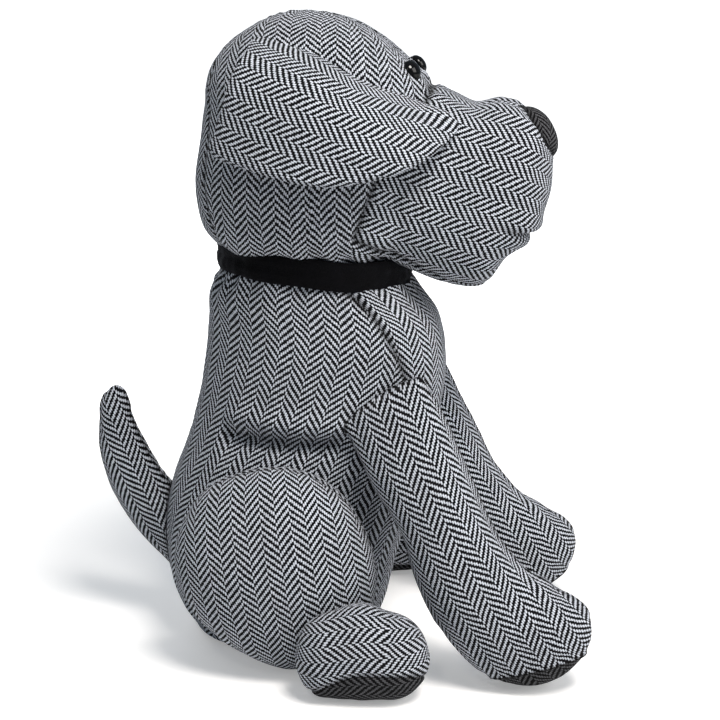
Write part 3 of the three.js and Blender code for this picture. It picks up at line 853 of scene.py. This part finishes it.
def buildHead():
    head = {
        "skull": [  # height, middle along X, half length, half width
            (6, 0, 40.5, 36.5), (11, 0, 46, 42.5), (19, 0, 51.5, 47), (37, -0.5, 54, 49), (56, 0.5, 52, 49),
            (72, 1, 50, 47),
        ],
        "chin": 6,
        "crown": (-3, 41),
        "muzzle": [  # distance along X, middle height, half width, half height
            (40, 41, 38, 42), (53, 36.5, 37, 42.5), (66, 32.5, 35.5, 42), (77, 33, 35, 41.5),
            (86.5, 37.5, 33, 33.5),
        ],
        "cheek": 18,
        "lip": (21, 9.5),
        "middle": (34, 0, 42),
        "brow": {"at": (51, 0, 82), "size": 9, "out": 3.0},
        "crownDent": {"at": (36, 0, 106), "size": 17, "deep": 2.6},
        "bridge": {"at": 57.5, "size": 11, "spread": 20, "up": 2.2},
        "dip": {"at": 74, "size": 5.5, "down": 2.6},
        "lobe": {"at": (84, 13), "size": (7, 9, 9), "up": 3.4},
        "valley": {"width": 4.5, "depth": 4.0},
        "cheekSeam": [
            (35.5, -43, 196), (37.2, -44.2, 200.6), (41.1, -44.3, 212.5), (43, -44, 216), (49, -43, 230),
            (58, -38, 243), (64, -28, 252), (67, -14, 257), (68, 0, 258.5),
        ],
        "chinSeam": [
            (35.5, -43, 196), (42.9, -37.1, 190.3), (52.1, -30, 182), (61, -26, 176.5), (72.2, -22, 172.5),
            (84, -18, 170), (92, -12, 172), (95, 0, 173),
        ],
        "mouth": [
            (94, -34, 200.5), (100.7, -30.8, 197.9), (106, -26.7, 195.8), (110.5, -18, 194.6),
            (112.5, -8, 194), (113, 0, 194),
        ],
        "backSeam": [
            (-24, -26, 190), (-30.3, -29, 205.6), (-31.4, -28.3, 218.9), (-31.1, -25.8, 231.8),
            (-30.3, -23.3, 244.7), (-28.5, -18, 258), (-22, -10, 271), (-12, 0, 282),
        ],
        "topLine": [
            (68, 0, 258), (63, 0, 270), (52, 0, 278), (40, 0, 284), (20, 0, 289), (0, 0, 290), (-12, 0, 282),
        ],
        "frontLine": [(110, 0, 246), (122, 0, 226), (119, 0, 210), (113, 0, 195), (104, 0, 180)],
        "stitches": {
            "cheekSeam": {"depth": 1.2, "width": 1.7, "folds": 0.6, "spacing": 9, "seed": 2},
            "chinSeam": {"depth": 1.4, "width": 1.7, "folds": 0.7, "spacing": 8, "seed": 5},
            "backSeam": {"depth": 0.9, "width": 1.1, "folds": 0.35, "spacing": 9, "seed": 3},
            "topLine": {"depth": 1.1, "width": 1.0, "folds": 0.4, "spacing": 6, "reach": 6, "seed": 6},
            "frontLine": {"depth": 1.2, "width": 1.1, "folds": 0.4, "spacing": 8, "seed": 7},
        },
        "noseSeat": {"at": (92.2, 0, 70.8), "out": (0.826, 0, 0.567), "kept": 0.12, "spread": 14},
        "muzzlePole": (62, 0, 36),
        "muzzleLean": -68,
        "chinLean": -52,
        "lips": {"deep": 2.8, "width": 1.8, "out": 1.6, "away": 5, "size": 4},
        "lumps": [(0.9, 28, 11), (0.3, 10, 5)],
    }
    s, m = np.array(head["skull"], float), np.array(head["muzzle"], float)
    skullShape = stuffedForm(
        np.stack([s[:, 1], 0 * s[:, 1], s[:, 0]], axis=1) + neck, s[:, 2:4], (0, 0, -head["chin"]),
        (head["crown"][0], 0, head["crown"][1]), 2.3, 2, alongZ,
    )
    muzzleShape = stuffedForm(
        np.stack([m[:, 0], 0 * m[:, 0], m[:, 1]], axis=1) + neck, m[:, 2:4], (-head["cheek"], 0, 0),
        (head["lip"][0], 0, head["lip"][1]), 2.6, 2.1, alongX,
    )

    def swellSkull(points):
        brow = head["brow"]
        away = np.linalg.norm((points - neck - brow["at"]) * [1, 0.35, 1], axis=1)
        near = bell(away, brow["size"])
        dent = head["crownDent"]
        away = np.linalg.norm((points - neck - dent["at"]) * [1, 0.5, 1], axis=1)
        high = bell(away, dent["size"])
        moved = points + near[:, None] * brow["out"] * np.array([0.95, 0, 0.3])
        return moved - high[:, None] * dent["deep"] * np.array([0.35, 0, 0.93])

    def swellMuzzle(points):
        local = points - neck
        side = np.abs(local[:, 1])
        lobe = head["lobe"]
        top = ease(50, 66, local[:, 2])
        ahead = local[:, 0] - lobe["at"][0]
        up = lobe["up"] * bell(ahead, np.where(ahead < 0, lobe["size"][0], lobe["size"][1]))
        up = up * bell(side - lobe["at"][1], lobe["size"][2]) * top
        bridge = head["bridge"]
        raised = bridge["up"] * bell(local[:, 0] - bridge["at"], bridge["size"])
        up = up + raised * bell(side, bridge["spread"]) * top
        dip = head["dip"]
        up = up - dip["down"] * bell(local[:, 0] - dip["at"], dip["size"]) * top
        cleft = head["valley"]["depth"] * bell(side, head["valley"]["width"])
        moved = points.copy()
        moved[:, 2] += up - cleft * ease(68, 84, local[:, 0]) * top
        front = ease(92, 104, local[:, 0]) * (1 - top) * ease(8, 20, local[:, 2])
        moved[:, 0] -= cleft * front
        seat = head["noseSeat"]
        proud = np.maximum((moved - neck - seat["at"]) @ seat["out"], 0)
        inward = proud * (1 - seat["kept"]) * ease(seat["spread"] + 8, seat["spread"], side)
        return moved - inward[:, None] * np.array(seat["out"])

    skull = formTree(skullShape, 200, 150, swellSkull)
    muzzle = formTree(muzzleShape, 180, 150, swellMuzzle)
    bm, directions, turn, _ = newBall(320, 236)
    middle = neck + head["middle"]
    toSkull, toMuzzle = raysFrom(skull, middle, directions), raysFrom(muzzle, middle, directions)
    points = middle + directions * np.maximum(toSkull, toMuzzle)[:, None]
    points = relax(bm, points, np.full(len(points), True), 12)
    normals = outwardOf(bm)
    reference = points * [1, 0, 1] - [0, 1, 0] * np.abs(points)
    muzzleField = sideCloth(BVHTree.FromBMesh(bm), neck + head["muzzlePole"])
    seamNames = ("cheekSeam", "chinSeam", "mouth", "backSeam", "topLine")
    seams = {name: ontoSurface(bm, smoothLine(head[name], 60)) for name in seamNames}
    seams["frontLine"] = ontoSurface(bm, smoothLine(head["frontLine"], 50))
    distance, along = toLine(reference, seams["mouth"])
    deep, lips = ease(0, 22, along), head["lips"]
    fold = -lips["deep"] * bell(distance, lips["width"]) * deep
    over = (reference[:, 2] > np.interp(reference[:, 0], [94, 106, 113], [200.5, 195.8, 194])).astype(float)
    fold += lips["out"] * bell(distance - lips["away"], lips["size"]) * deep * (0.8 + 0.2 * over)
    sag = unevenness(points, head["lumps"])
    gather = bell(points[:, 2] - 184, 8) * (points[:, 0] < 45)
    folds = 0.8 * gather * np.sin(2 * np.pi * turn * 23 + 1.5 * np.sin(2 * np.pi * turn * 6))
    points = points + normals * (fold + sag + folds)[:, None]
    # painted shade in the mouth fold; the seams below add painted shade in their grooves
    shade = 0.5 * bell(distance, 1.3) * deep
    for name, stitches in head["stitches"].items():
        points, shade = sewSeam(points, normals, shade, seams[name], **stitches)
    low = points[:, 2] < 192
    points[low], _ = restOn(points[low], [torsoTree])
    place(bm, points)
    headTree = BVHTree.FromBMesh(bm)
    mesh = meshOf(bm, "headCloth")
    vertexOf, faceOf, totals = cornerTables(mesh)
    skullUV = fieldOn(skull, reference, 0.75, clothField(skullShape, 0.75))
    backUV = fieldOn(skull, reference, 0.5, clothField(skullShape, 0.5))
    sideView = muzzleField(reference)
    x, y, z = (faceMeans(reference[:, k], vertexOf, faceOf, totals) for k in range(3))
    cheek, chin, back = seams["cheekSeam"], seams["chinSeam"], seams["backSeam"]
    onMuzzle = x > np.interp(z, cheek[:, 2], cheek[:, 0])
    onChin = (z < np.interp(x, chin[:, 0], chin[:, 2])) & (x > 34)
    onChin &= y > np.interp(x, chin[:, 0], chin[:, 1]) - 1
    onBack = (x < np.interp(z, back[:, 2], back[:, 0])) & (z < 281)
    sign = np.where(faceMeans(points[:, 1], vertexOf, faceOf, totals) > 0, -1.0, 1.0)[faceOf]
    uv = skullUV[vertexOf]
    uv = np.where(onBack[faceOf][:, None], backUV[vertexOf] + [2.5, 1], uv)
    uv = np.where(onMuzzle[faceOf][:, None], leaned(sideView, head["muzzleLean"], (1, 0))[vertexOf], uv)
    uv = np.where(onChin[faceOf][:, None], leaned(sideView, head["chinLean"], (4, 0))[vertexOf], uv)
    writeWeave(mesh, uv * np.stack([sign, 0 * sign + 1], axis=1))
    writePaintedShade(mesh, shade)
    addPiece("headCloth", mesh, tweed, ["head"])
    return headTree


headTree = buildHead()
print("head is sewn")


def buildNose():
    nose = {
        "at": (98.1, 0, 58.6),
        "half": (9.2, 14.6, 12.8),
        "squareness": 2.1,
        "tilt": 34.5,
        "lumps": [(0.5, 9, 4)],
        "lean": 35,
    }
    bm, ball, _, _ = newBall(120, 80)
    a = math.radians(nose["tilt"])
    forward, up = np.array([math.cos(a), 0, math.sin(a)]), np.array([-math.sin(a), 0, math.cos(a)])
    power = nose["squareness"]
    rounder = ball / (np.abs(ball) ** power).sum(axis=1)[:, None] ** (1 / power)
    local = rounder * nose["half"]
    points = neck + nose["at"] + local[:, :1] * forward + local[:, 1:2] * [0, 1, 0] + local[:, 2:] * up
    place(bm, points)
    normals = outwardOf(bm)
    points = points + normals * unevenness(points, nose["lumps"])[:, None]
    # painted shade where the nose meets the head
    points, shade = restOn(points, [headTree])
    place(bm, points)
    mesh = meshOf(bm, "noseCloth")
    vertexOf = cornerTables(mesh)[0]
    angle = np.arccos(np.clip(ball[:, 0], -1, 1))
    spin = np.arctan2(ball[:, 2], ball[:, 1])
    uv = np.stack([angle * np.cos(spin), angle * np.sin(spin)], axis=1) * nose["half"][1]
    writeWeave(mesh, leaned(uv, nose["lean"])[vertexOf])
    writePaintedShade(mesh, shade)
    addPiece("noseCloth", mesh, charcoal, ["nose"])


buildNose()


def buildEye(name, side, nodes):
    eye = {
        "profile": [
            (4.9, -1.0), (4.95, -0.2), (4.6, 0.9), (3.85, 1.9), (2.75, 2.65), (1.45, 3.1), (0, 3.25),
        ],
        "steps": 64,
        "at": {-1: (59.0, -14.5, 266.3), 1: (61.5, 11.5, 266.8)},
        "out": (0.76, 0.42, 0.53),
    }
    bm = bmesh.new()
    verts = [bm.verts.new((radius / metre, 0, rise / metre)) for radius, rise in eye["profile"]]
    edges = [bm.edges.new(pair) for pair in zip(verts[:-1], verts[1:])]
    bmesh.ops.spin(
        bm, geom=verts + edges, cent=(0, 0, 0), axis=(0, 0, 1), angle=2 * math.pi, steps=eye["steps"],
        use_merge=True,
    )
    bmesh.ops.remove_doubles(bm, verts=bm.verts, dist=1e-6)
    rim = [edge for edge in bm.edges if edge.is_boundary]
    bmesh.ops.holes_fill(bm, edges=rim, sides=0)
    mirror = Vector((1, side, 1))
    spot = headTree.find_nearest(Vector(eye["at"][side]) / metre)[0]
    turn = (Vector(eye["out"]) * mirror).to_track_quat("Z", "Y").to_matrix()
    bmesh.ops.rotate(bm, matrix=turn, verts=bm.verts)
    bmesh.ops.translate(bm, vec=spot, verts=bm.verts)
    place(bm, restOn(pointsOf(bm), [headTree], gap=0.15)[0])
    addPiece(name, meshOf(bm, name), bead, nodes)


for side, name in ((-1, "right"), (1, "left")):
    buildEye("bead_" + name, side, ["eye_" + name])
print("nose and eyes are on")


def buildEars():
    ear = {
        "outline": [
            (-26.5, 97.5), (-23.5, 103), (-14, 102), (4.5, 97), (21, 88), (40, 79.5), (55.5, 72.5),
            (63.5, 68.5), (64.5, 64.5), (61, 61), (52.5, 54.5), (34, 47.5), (10, 44.5),
            (-20.5, 50), (-35.5, 54.2), (-40.5, 57.5), (-39.5, 61.5), (-35, 75.5), (-31.5, 88),
        ],
        "root": [
            (-24, 25.5, 104), (-6, 35.5, 100), (12, 39, 94.5), (30, 36, 85), (48, 23, 76.5), (66, 26, 67),
        ],
        "middle": (12, 72),
        "thickness": 5.4,
        "hangSpread": 65,
        "hangMiddle": 4,
        "hangReach": 78,
        "fold": 11,
        "lumps": [(0.18, 7, 2)],
        "lean": -68,
    }
    shares = np.linspace(0, 1, 200)
    root = throughPoints(ear["root"], shares)

    def sheet(x, z):
        forward, height = x - neck[0], z - neck[2]
        share = np.clip((forward + 24) / 90, 0, 1)
        spread, top = np.interp(share, shares, root[:, 1]), np.interp(share, shares, root[:, 2])
        below = np.maximum(top - height, 0)
        across = (forward - ear["hangMiddle"]) / ear["hangReach"]
        hang = ear["hangSpread"] * np.sqrt(np.maximum(1 - across**2, 0))
        return -(spread + (hang - spread) * (1 - np.exp(-below / ear["fold"])))

    outline = np.array(ear["outline"]) + neck[[0, 2]]
    middle = np.array(ear["middle"]) + neck[[0, 2]]
    shape = pillowForm(outline, middle, ear["thickness"], 5, sheet, hem=0.5)
    bm, _, turn, travel = newBall(256, 110)
    points = shape(turn, travel)
    place(bm, points)
    normals = outwardOf(bm)
    low = ease(60, 46, points[:, 2] - neck[2])
    wave = 1.1 * low * np.sin((points[:, 0] + 4) / 9.5) + 0.5 * lumps(points, 20, 9)
    points[:, 1] -= wave
    points = points + normals * unevenness(points, ear["lumps"])[:, None]
    outer = travel < 0.5
    thick = ear["thickness"] * np.sqrt(np.clip(1 - np.sin(np.pi * travel) ** 5, 0, 1))
    points, _ = keepOutside(points, headTree, np.where(outer, 0.3 + thick, 0.3))
    place(bm, points)
    mesh = meshOf(bm, "earRight")
    vertexOf, faceOf, totals = cornerTables(mesh)
    faceTravel = faceMeans(travel, vertexOf, faceOf, totals)
    _, corner = cornerTurns(mesh, turn, travel, 0.0)
    front = faceField(shape, outline, middle)(corner, travel[vertexOf])
    inside = faceField(shape, outline, middle, near=False)(corner, travel[vertexOf])
    uv = np.where((faceTravel < 0.5)[faceOf][:, None], front, inside)
    writeWeave(mesh, leaned(uv, ear["lean"], (0.4, 0)))
    # painted shade along the ear's rim
    writePaintedShade(mesh, bell(travel - 0.515, 0.006) * 0.6)
    other = mirrorMesh(mesh, "earLeft")
    addPiece("earRight", mesh, tweed, ["ear_right"])
    addPiece("earLeft", other, tweed, ["ear_left"])


buildEars()
print("ears are sewn")


def buildCollar():
    collar = {
        "x": -0.5, "z": 1.5, "half": (43.4, 39.0), "width": 13.5, "thick": 3.6, "tilt": 5, "steps": 220,
    }
    bm = bmesh.new()
    bmesh.ops.create_circle(bm, segments=28, radius=1, matrix=Matrix.Rotation(math.pi / 2, 4, "X"))
    bmesh.ops.translate(bm, vec=(20, 0, 0), verts=bm.verts)
    bmesh.ops.spin(
        bm, geom=bm.verts[:] + bm.edges[:], cent=(0, 0, 0), axis=(0, 0, 1), angle=2 * math.pi,
        steps=collar["steps"], use_merge=True,
    )
    bmesh.ops.remove_doubles(bm, verts=bm.verts, dist=1e-5)
    ring = np.array([vert.co for vert in bm.verts])
    around = np.arctan2(ring[:, 1], ring[:, 0])
    out, up = np.hypot(ring[:, 0], ring[:, 1]) - 20, ring[:, 2]
    flat = np.sign(up) * np.abs(up) ** 0.8
    ridge = 1 - 0.5 * bell(flat, 0.2) - 0.12 * bell(np.abs(flat) - 0.62, 0.1)
    lap = 0.7 * ease(-1.62, -1.56, around) * ease(-1.2, -1.3, around)
    rough = 0.6 * lumps(ring * [1, 1, 2], 2.3, 6)
    swell = out * collar["thick"] / 2 * ridge + lap * (out > 0) + rough * (out > 0)
    z = flat * collar["width"] / 2 + 0.5 * np.sin(3 * around + 1) + 0.3 * np.sin(7 * around)
    x, y = np.cos(around) * (collar["half"][0] + swell), np.sin(around) * (collar["half"][1] + swell)
    tilt = math.radians(collar["tilt"])
    c, s = math.cos(tilt), math.sin(tilt)
    points = np.stack([x * c + z * s, y, -x * s + z * c], axis=1)
    place(bm, restOn(points + neck + [collar["x"], 0, collar["z"]], [torsoTree, headTree])[0])
    mesh = meshOf(bm, "collarVelvet")
    addPiece("collarVelvet", mesh, velvet, ["collar"])


buildCollar()
print("collar is on")


# The cloth of a side panel cut flat: the middle line as the side view shows it, and the distance from it.
def sideField(shape, middle):
    travels = np.linspace(0, 1, 161)
    base = shape(np.full(161, middle % 1), travels)
    after, before = (shape(np.full(161, (middle + step) % 1), travels) for step in (0.01, -0.01))
    ahead = after - before
    ahead = ahead[:, [0, 2]] / (np.linalg.norm(ahead[:, [0, 2]], axis=1)[:, None] + 1e-9)
    around = clothField(shape, middle)

    def field(offset, travel):
        distance = around(offset, travel)[:, :1]
        line = np.stack([np.interp(travel, travels, base[:, k]) for k in (0, 2)], axis=1)
        way = np.stack([np.interp(travel, travels, ahead[:, k]) for k in (0, 1)], axis=1)
        return line + way * distance

    return field


def twoPanels(mesh, shape, points, turn, travel, lean):
    # a right panel and a left panel, sewn together along the front and the back
    vertexOf, faceOf, _ = cornerTables(mesh)
    near, corner = cornerTurns(mesh, turn, travel, 0.75)
    _, farCorner = cornerTurns(mesh, turn, travel, 0.25)
    right = sideField(shape, 0.75)(corner, travel[vertexOf])
    left = sideField(shape, 0.25)(farCorner, travel[vertexOf])
    uv = np.where((np.abs(near) <= 0.25)[faceOf][:, None], right, left)
    flat = ease(0.27, 0.17, travel[vertexOf])[:, None]  # the sewn end lies flat
    return leaned(uv * (1 - flat) + points[vertexOf][:, [0, 2]] * flat, lean)


def sewAlong(points, normals, shape, seams, stitches):
    # seams that run along a form, each as its first and last place round the rings, and its seed
    # the painted shade of the seam grooves is gathered here
    shade = np.zeros(len(points))
    travels = np.linspace(0.02, 0.9, 120)
    for turns, seed in seams:
        line = shape(np.interp(travels, [0, 1], turns) % 1, travels)
        points, shade = sewSeam(points, normals, shade, line, seed=seed, side=False, **stitches)
    return points, shade


def sewSole(points, normals, soleHeight, width=0.9, depth=0.9):
    # sinks the seam round a sole, and sets the foot on the floor; the groove is also given back as a mask
    # for painted shade
    groove = bell(points[:, 2] - soleHeight(points), width)
    points = points - normals * (depth * groove)[:, None]
    points[:, 2] = np.maximum(points[:, 2], 0)
    return points, groove


def buildFrontLeg(side):
    leg = {
        "sections": [  # centre and half sizes
            ((48, -44, 123), (20.5, 6.5)), ((56, -48.5, 110.5), (20.5, 14)),
            ((63.5, -54.5, 96.5), (20.2, 17.5)), ((73.5, -60.5, 79), (18.8, 18)),
            ((81, -63.5, 61.5), (20, 18.3)), ((88.5, -65, 47.5), (22, 18.5)),
            ((98, -66, 35), (24.2, 18.5)), ((109.5, -66.5, 27), (26, 18.5)),
            ((121, -67, 22.5), (23.2, 17.5)),
        ],
        "shoulder": (-1, 1.5, 3),
        "toe": (20, 0, -1.5),
        "hem": 1.3,
        "topFolds": 0.2,
        "squareness": 2.25,
        "domeSquareness": 1.9,
        "lumps": [(0.6, 18, 6), (0.25, 7, 12)],
        "seams": [((0.0, 0.0), 1), ((0.5, 0.5), 2)],
        "stitches": {"depth": 0.7, "width": 1.0, "folds": 0.3, "spacing": 9},
        "lean": -29,
        "sole": {"height": 6, "side": -67, "rise": 0.2, "from": 102, "forward": 0.3},
        "leftSetBack": 3,
        "leftTurnIn": 26,
    }
    left = side == "Left"
    setBack, turnIn = (leg["leftSetBack"], leg["leftTurnIn"]) if left else (0, 0)
    centres = np.array([s[0] for s in leg["sections"]], float)
    centres[:, 1] += turnIn * (centres[0, 2] - centres[:, 2]) / (centres[0, 2] - centres[-1, 2])
    centres[:, 0] -= setBack
    halves = [s[1] for s in leg["sections"]]
    shape = stuffedForm(
        centres, halves, leg["shoulder"], leg["toe"], leg["squareness"], leg["domeSquareness"]
    )
    bm, _, turn, travel = newBall(128, 190)
    points = relax(bm, shape(turn, travel), travel > 0.6, 60)
    normals = outwardOf(bm)
    sag = unevenness(points, leg["lumps"])
    top = ease(0.36, 0.2, travel) * np.sin(2 * np.pi * turn * 15 + 1.4 * np.sin(2 * np.pi * turn * 4))
    points = points + normals * (sag + leg["topFolds"] * top)[:, None]
    points, shade = sewAlong(points, normals, shape, leg["seams"], leg["stitches"])
    sole = leg["sole"]

    def soleHeight(spots):
        forward = np.maximum(spots[:, 0] - sole["from"], -4)
        across = sole["rise"] * (sole["side"] + turnIn - spots[:, 1])
        return sole["height"] + across + sole["forward"] * forward

    points, groove = sewSole(points, normals, soleHeight)
    gap = 0.3 + leg["hem"] * ease(-0.2, 0.35, -normals[:, 1])  # the outer cloth lies over the inner
    points, contactShade = restOn(points, [torsoTree], left, gap)
    # painted shade in the seam and sole grooves and where the leg meets the body
    shade = np.maximum(np.maximum(shade, groove * 0.7), contactShade * 0.6)
    place(bm, points)
    mesh = meshOf(bm, "frontLeg")
    writeWeave(mesh, twoPanels(mesh, shape, points, turn, travel, leg["lean"]))
    writePaintedShade(mesh, shade)
    addFoot("front_leg", "front_sole", side, *splitMesh(mesh, soleHeight, ("upper", "under")))


# Adds a foot's upper and its sole, mirrored where the foot is a left one.
def addFoot(upperNode, soleNode, side, upper, under):
    for node, mesh, material, slot in (
        (upperNode, upper, tweed, "herringbone"), (soleNode, under, charcoal, "dark_herringbone")
    ):
        first, second = node.split("_")
        name = first + second.capitalize() + side
        if side == "Left":
            mesh = mirrorMesh(mesh, name)
        addPiece(name, mesh, material, [node + "_" + side.lower()])


for side in ("Right", "Left"):
    buildFrontLeg(side)
print("front legs are sewn")


def buildThigh(side):
    thigh = {
        "outline": [
            (-44, 50), (-41, 69), (-31, 84), (-15, 92.5), (2, 95.5), (18, 92.5), (31, 83),
            (40, 70), (46, 53), (46, 36), (40, 20), (26, 6), (8, 1.5), (-10, 7), (-27, 18),
            (-38, 31),
        ],
        "middle": (2, 48),
        "side": -57,
        "thickness": 54,
        "rimSharpness": 2.1,
        "seamAt": 0.49,
        "lumps": [(0.8, 24, 14), (0.3, 8, 3)],
        "stitches": {"depth": 0.7, "width": 0.8, "folds": 0.4, "spacing": 7, "reach": 5, "seed": 3},
        "lean": -9,
    }
    shape = pillowForm(
        thigh["outline"], thigh["middle"], thigh["thickness"], thigh["rimSharpness"],
        lambda x, z: 0 * x + thigh["side"],
    )
    bm, _, turn, travel = newBall(240, 150)
    points = shape(turn, travel)
    place(bm, points)
    normals = outwardOf(bm)
    line = shape(np.linspace(0, 1, 160) % 1, np.full(160, thigh["seamAt"]))
    points = points + normals * unevenness(points, thigh["lumps"])[:, None]
    points, shade = sewSeam(
        points, normals, np.zeros(len(points)), line, side=False, **thigh["stitches"]
    )
    points[:, 2] = np.maximum(points[:, 2], 0)
    points, contactShade = restOn(points, [torsoTree], side == "Left")
    # painted shade in the seam groove and where the thigh meets the body
    shade = np.maximum(shade, contactShade)
    place(bm, points)
    name = "thigh" + side
    mesh = meshOf(bm, name)
    vertexOf, faceOf, totals = cornerTables(mesh)
    _, corner = cornerTurns(mesh, turn, travel, 0.0)
    faceTravel = faceMeans(travel, vertexOf, faceOf, totals)
    face = faceField(shape, thigh["outline"], thigh["middle"])
    front = leaned(face(corner, travel[vertexOf]), thigh["lean"])
    _, rimCorner = cornerTurns(mesh, turn, travel, 0.25)
    rim = clothField(shape, 0.25)(rimCorner, travel[vertexOf])
    uv = np.where((faceTravel < thigh["seamAt"])[faceOf][:, None], front, leaned(rim, 90, (2, 0)))
    writeWeave(mesh, uv)
    writePaintedShade(mesh, shade)
    if side == "Left":
        mesh = mirrorMesh(mesh, name)
    addPiece(name, mesh, tweed, ["hind_leg_" + side.lower()])
    bm = bmesh.new()
    bm.from_mesh(mesh)
    tree = BVHTree.FromBMesh(bm)
    bm.free()
    return tree


thighTrees = {side: buildThigh(side) for side in ("Right", "Left")}
print("thighs are sewn")


def buildHindFoot(side):
    foot = {
        "sections": [  # distance along X, middle height, half width, half height
            (27, 19.7, 16, 19.5), (41, 21.5, 17.5, 22), (53, 20, 17, 19.6),
        ],
        "side": -84,
        "heel": (-14.5, 0, 0),
        "toe": (18.5, 0, 0),
        "squareness": 2.05,
        "leftInset": 12,
        "lumps": [(0.6, 16, 16), (0.25, 6, 5)],
        "lean": 84,
        "sole": {"height": 11, "rise": 0.36, "drop": 8.5, "heel": (18, 42)},
    }
    left = side == "Left"
    middle = foot["side"] + (foot["leftInset"] if left else 0)
    s = np.array(foot["sections"], float)
    centres = np.stack([s[:, 0], 0 * s[:, 0] + middle, s[:, 1]], axis=1)
    shape = stuffedForm(centres, s[:, 2:4], foot["heel"], foot["toe"], foot["squareness"], plane=alongX)
    bm, _, turn, travel = newBall(120, 110)
    points = shape(turn, travel)
    place(bm, points)
    normals = outwardOf(bm)
    points = points + normals * unevenness(points, foot["lumps"])[:, None]
    sole = foot["sole"]

    def soleHeight(spots):
        heel = 1 - ease(*sole["heel"], spots[:, 0])
        return sole["height"] + sole["rise"] * (middle - spots[:, 1]) - sole["drop"] * heel

    points, groove = sewSole(points, normals, soleHeight)
    points, contactShade = restOn(points, [thighTrees[side], torsoTree], left)
    points, _ = restOn(relax(bm, points, points[:, 2] > 20, 60), [thighTrees[side], torsoTree], left)
    place(bm, points)
    mesh = meshOf(bm, "hindFoot")
    vertexOf, faceOf, _ = cornerTables(mesh)
    near, corner = cornerTurns(mesh, turn, travel, 0.5)
    _, farCorner = cornerTurns(mesh, turn, travel, 0.0)
    outerUV = clothField(shape, 0.5)(corner, travel[vertexOf])
    innerUV = clothField(shape, 0.0)(farCorner, travel[vertexOf])
    uv = np.where((np.abs(near) <= 0.25)[faceOf][:, None], outerUV, innerUV)
    writeWeave(mesh, leaned(uv, foot["lean"] - 90))
    # painted shade in the sole groove and where the foot meets the thigh and body
    writePaintedShade(mesh, np.maximum(groove * 0.7, contactShade))
    addFoot("hind_foot", "hind_sole", side, *splitMesh(mesh, soleHeight, ("upper", "under")))


for side in ("Right", "Left"):
    buildHindFoot(side)
print("hind feet are sewn")


def buildTail():
    tail = {
        "sections": [
            ((-42, 0, 34), (14, 10)), ((-58.5, 0, 52), (14, 10.5)), ((-70.5, 0, 69), (12.8, 10)),
            ((-77.5, 0, 86.5), (10.8, 8.5)), ((-80.5, 0, 102), (7.2, 6)),
        ],
        "root": (2.8, 0, -2.8),
        "tip": (0, 0, 14),
        "squareness": 2,
        "lumps": [(0.5, 14, 7), (0.2, 6, 2)],
        "seams": [((0.54, 0.56), 1), ((0.0, 0.0), 2)],
        "stitches": {"depth": 0.9, "width": 0.9, "folds": 0.4, "spacing": 7, "reach": 5},
        "lean": -24,
    }
    centres, halves = zip(*tail["sections"])
    shape = stuffedForm(centres, halves, tail["root"], tail["tip"], tail["squareness"])
    bm, _, turn, travel = newBall(100, 130)
    points = shape(turn, travel)
    place(bm, points)
    normals = outwardOf(bm)
    points = points + normals * unevenness(points, tail["lumps"])[:, None]
    points, shade = sewAlong(points, normals, shape, tail["seams"], tail["stitches"])
    points, contactShade = restOn(points, [torsoTree])
    # painted shade in the seam grooves and where the tail meets the body
    shade = np.maximum(shade, contactShade)
    place(bm, points)
    mesh = meshOf(bm, "tailCloth")
    writeWeave(mesh, twoPanels(mesh, shape, points, turn, travel, tail["lean"]))
    writePaintedShade(mesh, shade)
    addPiece("tailCloth", mesh, tweed, ["tail"])


buildTail()
print("tail is sewn")


def buildBase():
    base = {
        "panel": (40.5, 39.5, 2.6),
        "bag": (38.2, 37.2),
        "bagTop": (32.0, 31.2),
        "bagHeight": (2.9, 117.5),
        "bagEnds": (12, 14),
        "squareness": 2.25,
        "x": -0.5,
    }
    bm, ball, _, _ = newBall(160, 60)
    edge = np.sign(ball) * np.abs(ball) ** [1, 1, 0.35]
    length, width, height = base["panel"]
    points = np.stack(
        [base["x"] + ball[:, 0] * length, ball[:, 1] * width, (edge[:, 2] + 1) * height / 2], axis=1
    )
    place(bm, points)
    mesh = meshOf(bm, "basePanelCloth")
    vertexOf = cornerTables(mesh)[0]
    writeWeave(mesh, points[vertexOf][:, :2])
    writePaintedShade(mesh, np.zeros(len(points)))
    addPiece("basePanelCloth", mesh, charcoal, ["base_panel"])
    (low, high), (foot, crown), x = base["bagHeight"], base["bagEnds"], base["x"]
    shape = stuffedForm(
        [(x, 0, low + foot), (x, 0, (low + high) / 2), (x, 0, high - crown)],
        [base["bag"], base["bag"], base["bagTop"]],
        (0, 0, -foot), (0, 0, crown), base["squareness"], plane=alongZ,
    )
    bm, _, turn, travel = newBall(120, 90)
    points = shape(turn, travel)
    place(bm, points)
    points = points - outwardOf(bm) * (0.6 + 0.6 * lumps(points, 14, 3))[:, None]
    place(bm, points)
    mesh = meshOf(bm, "gritBag")
    addPiece("gritBag", mesh, canvas, ["ballast_bag"])


buildBase()
print("base panel and bag of grit are in")
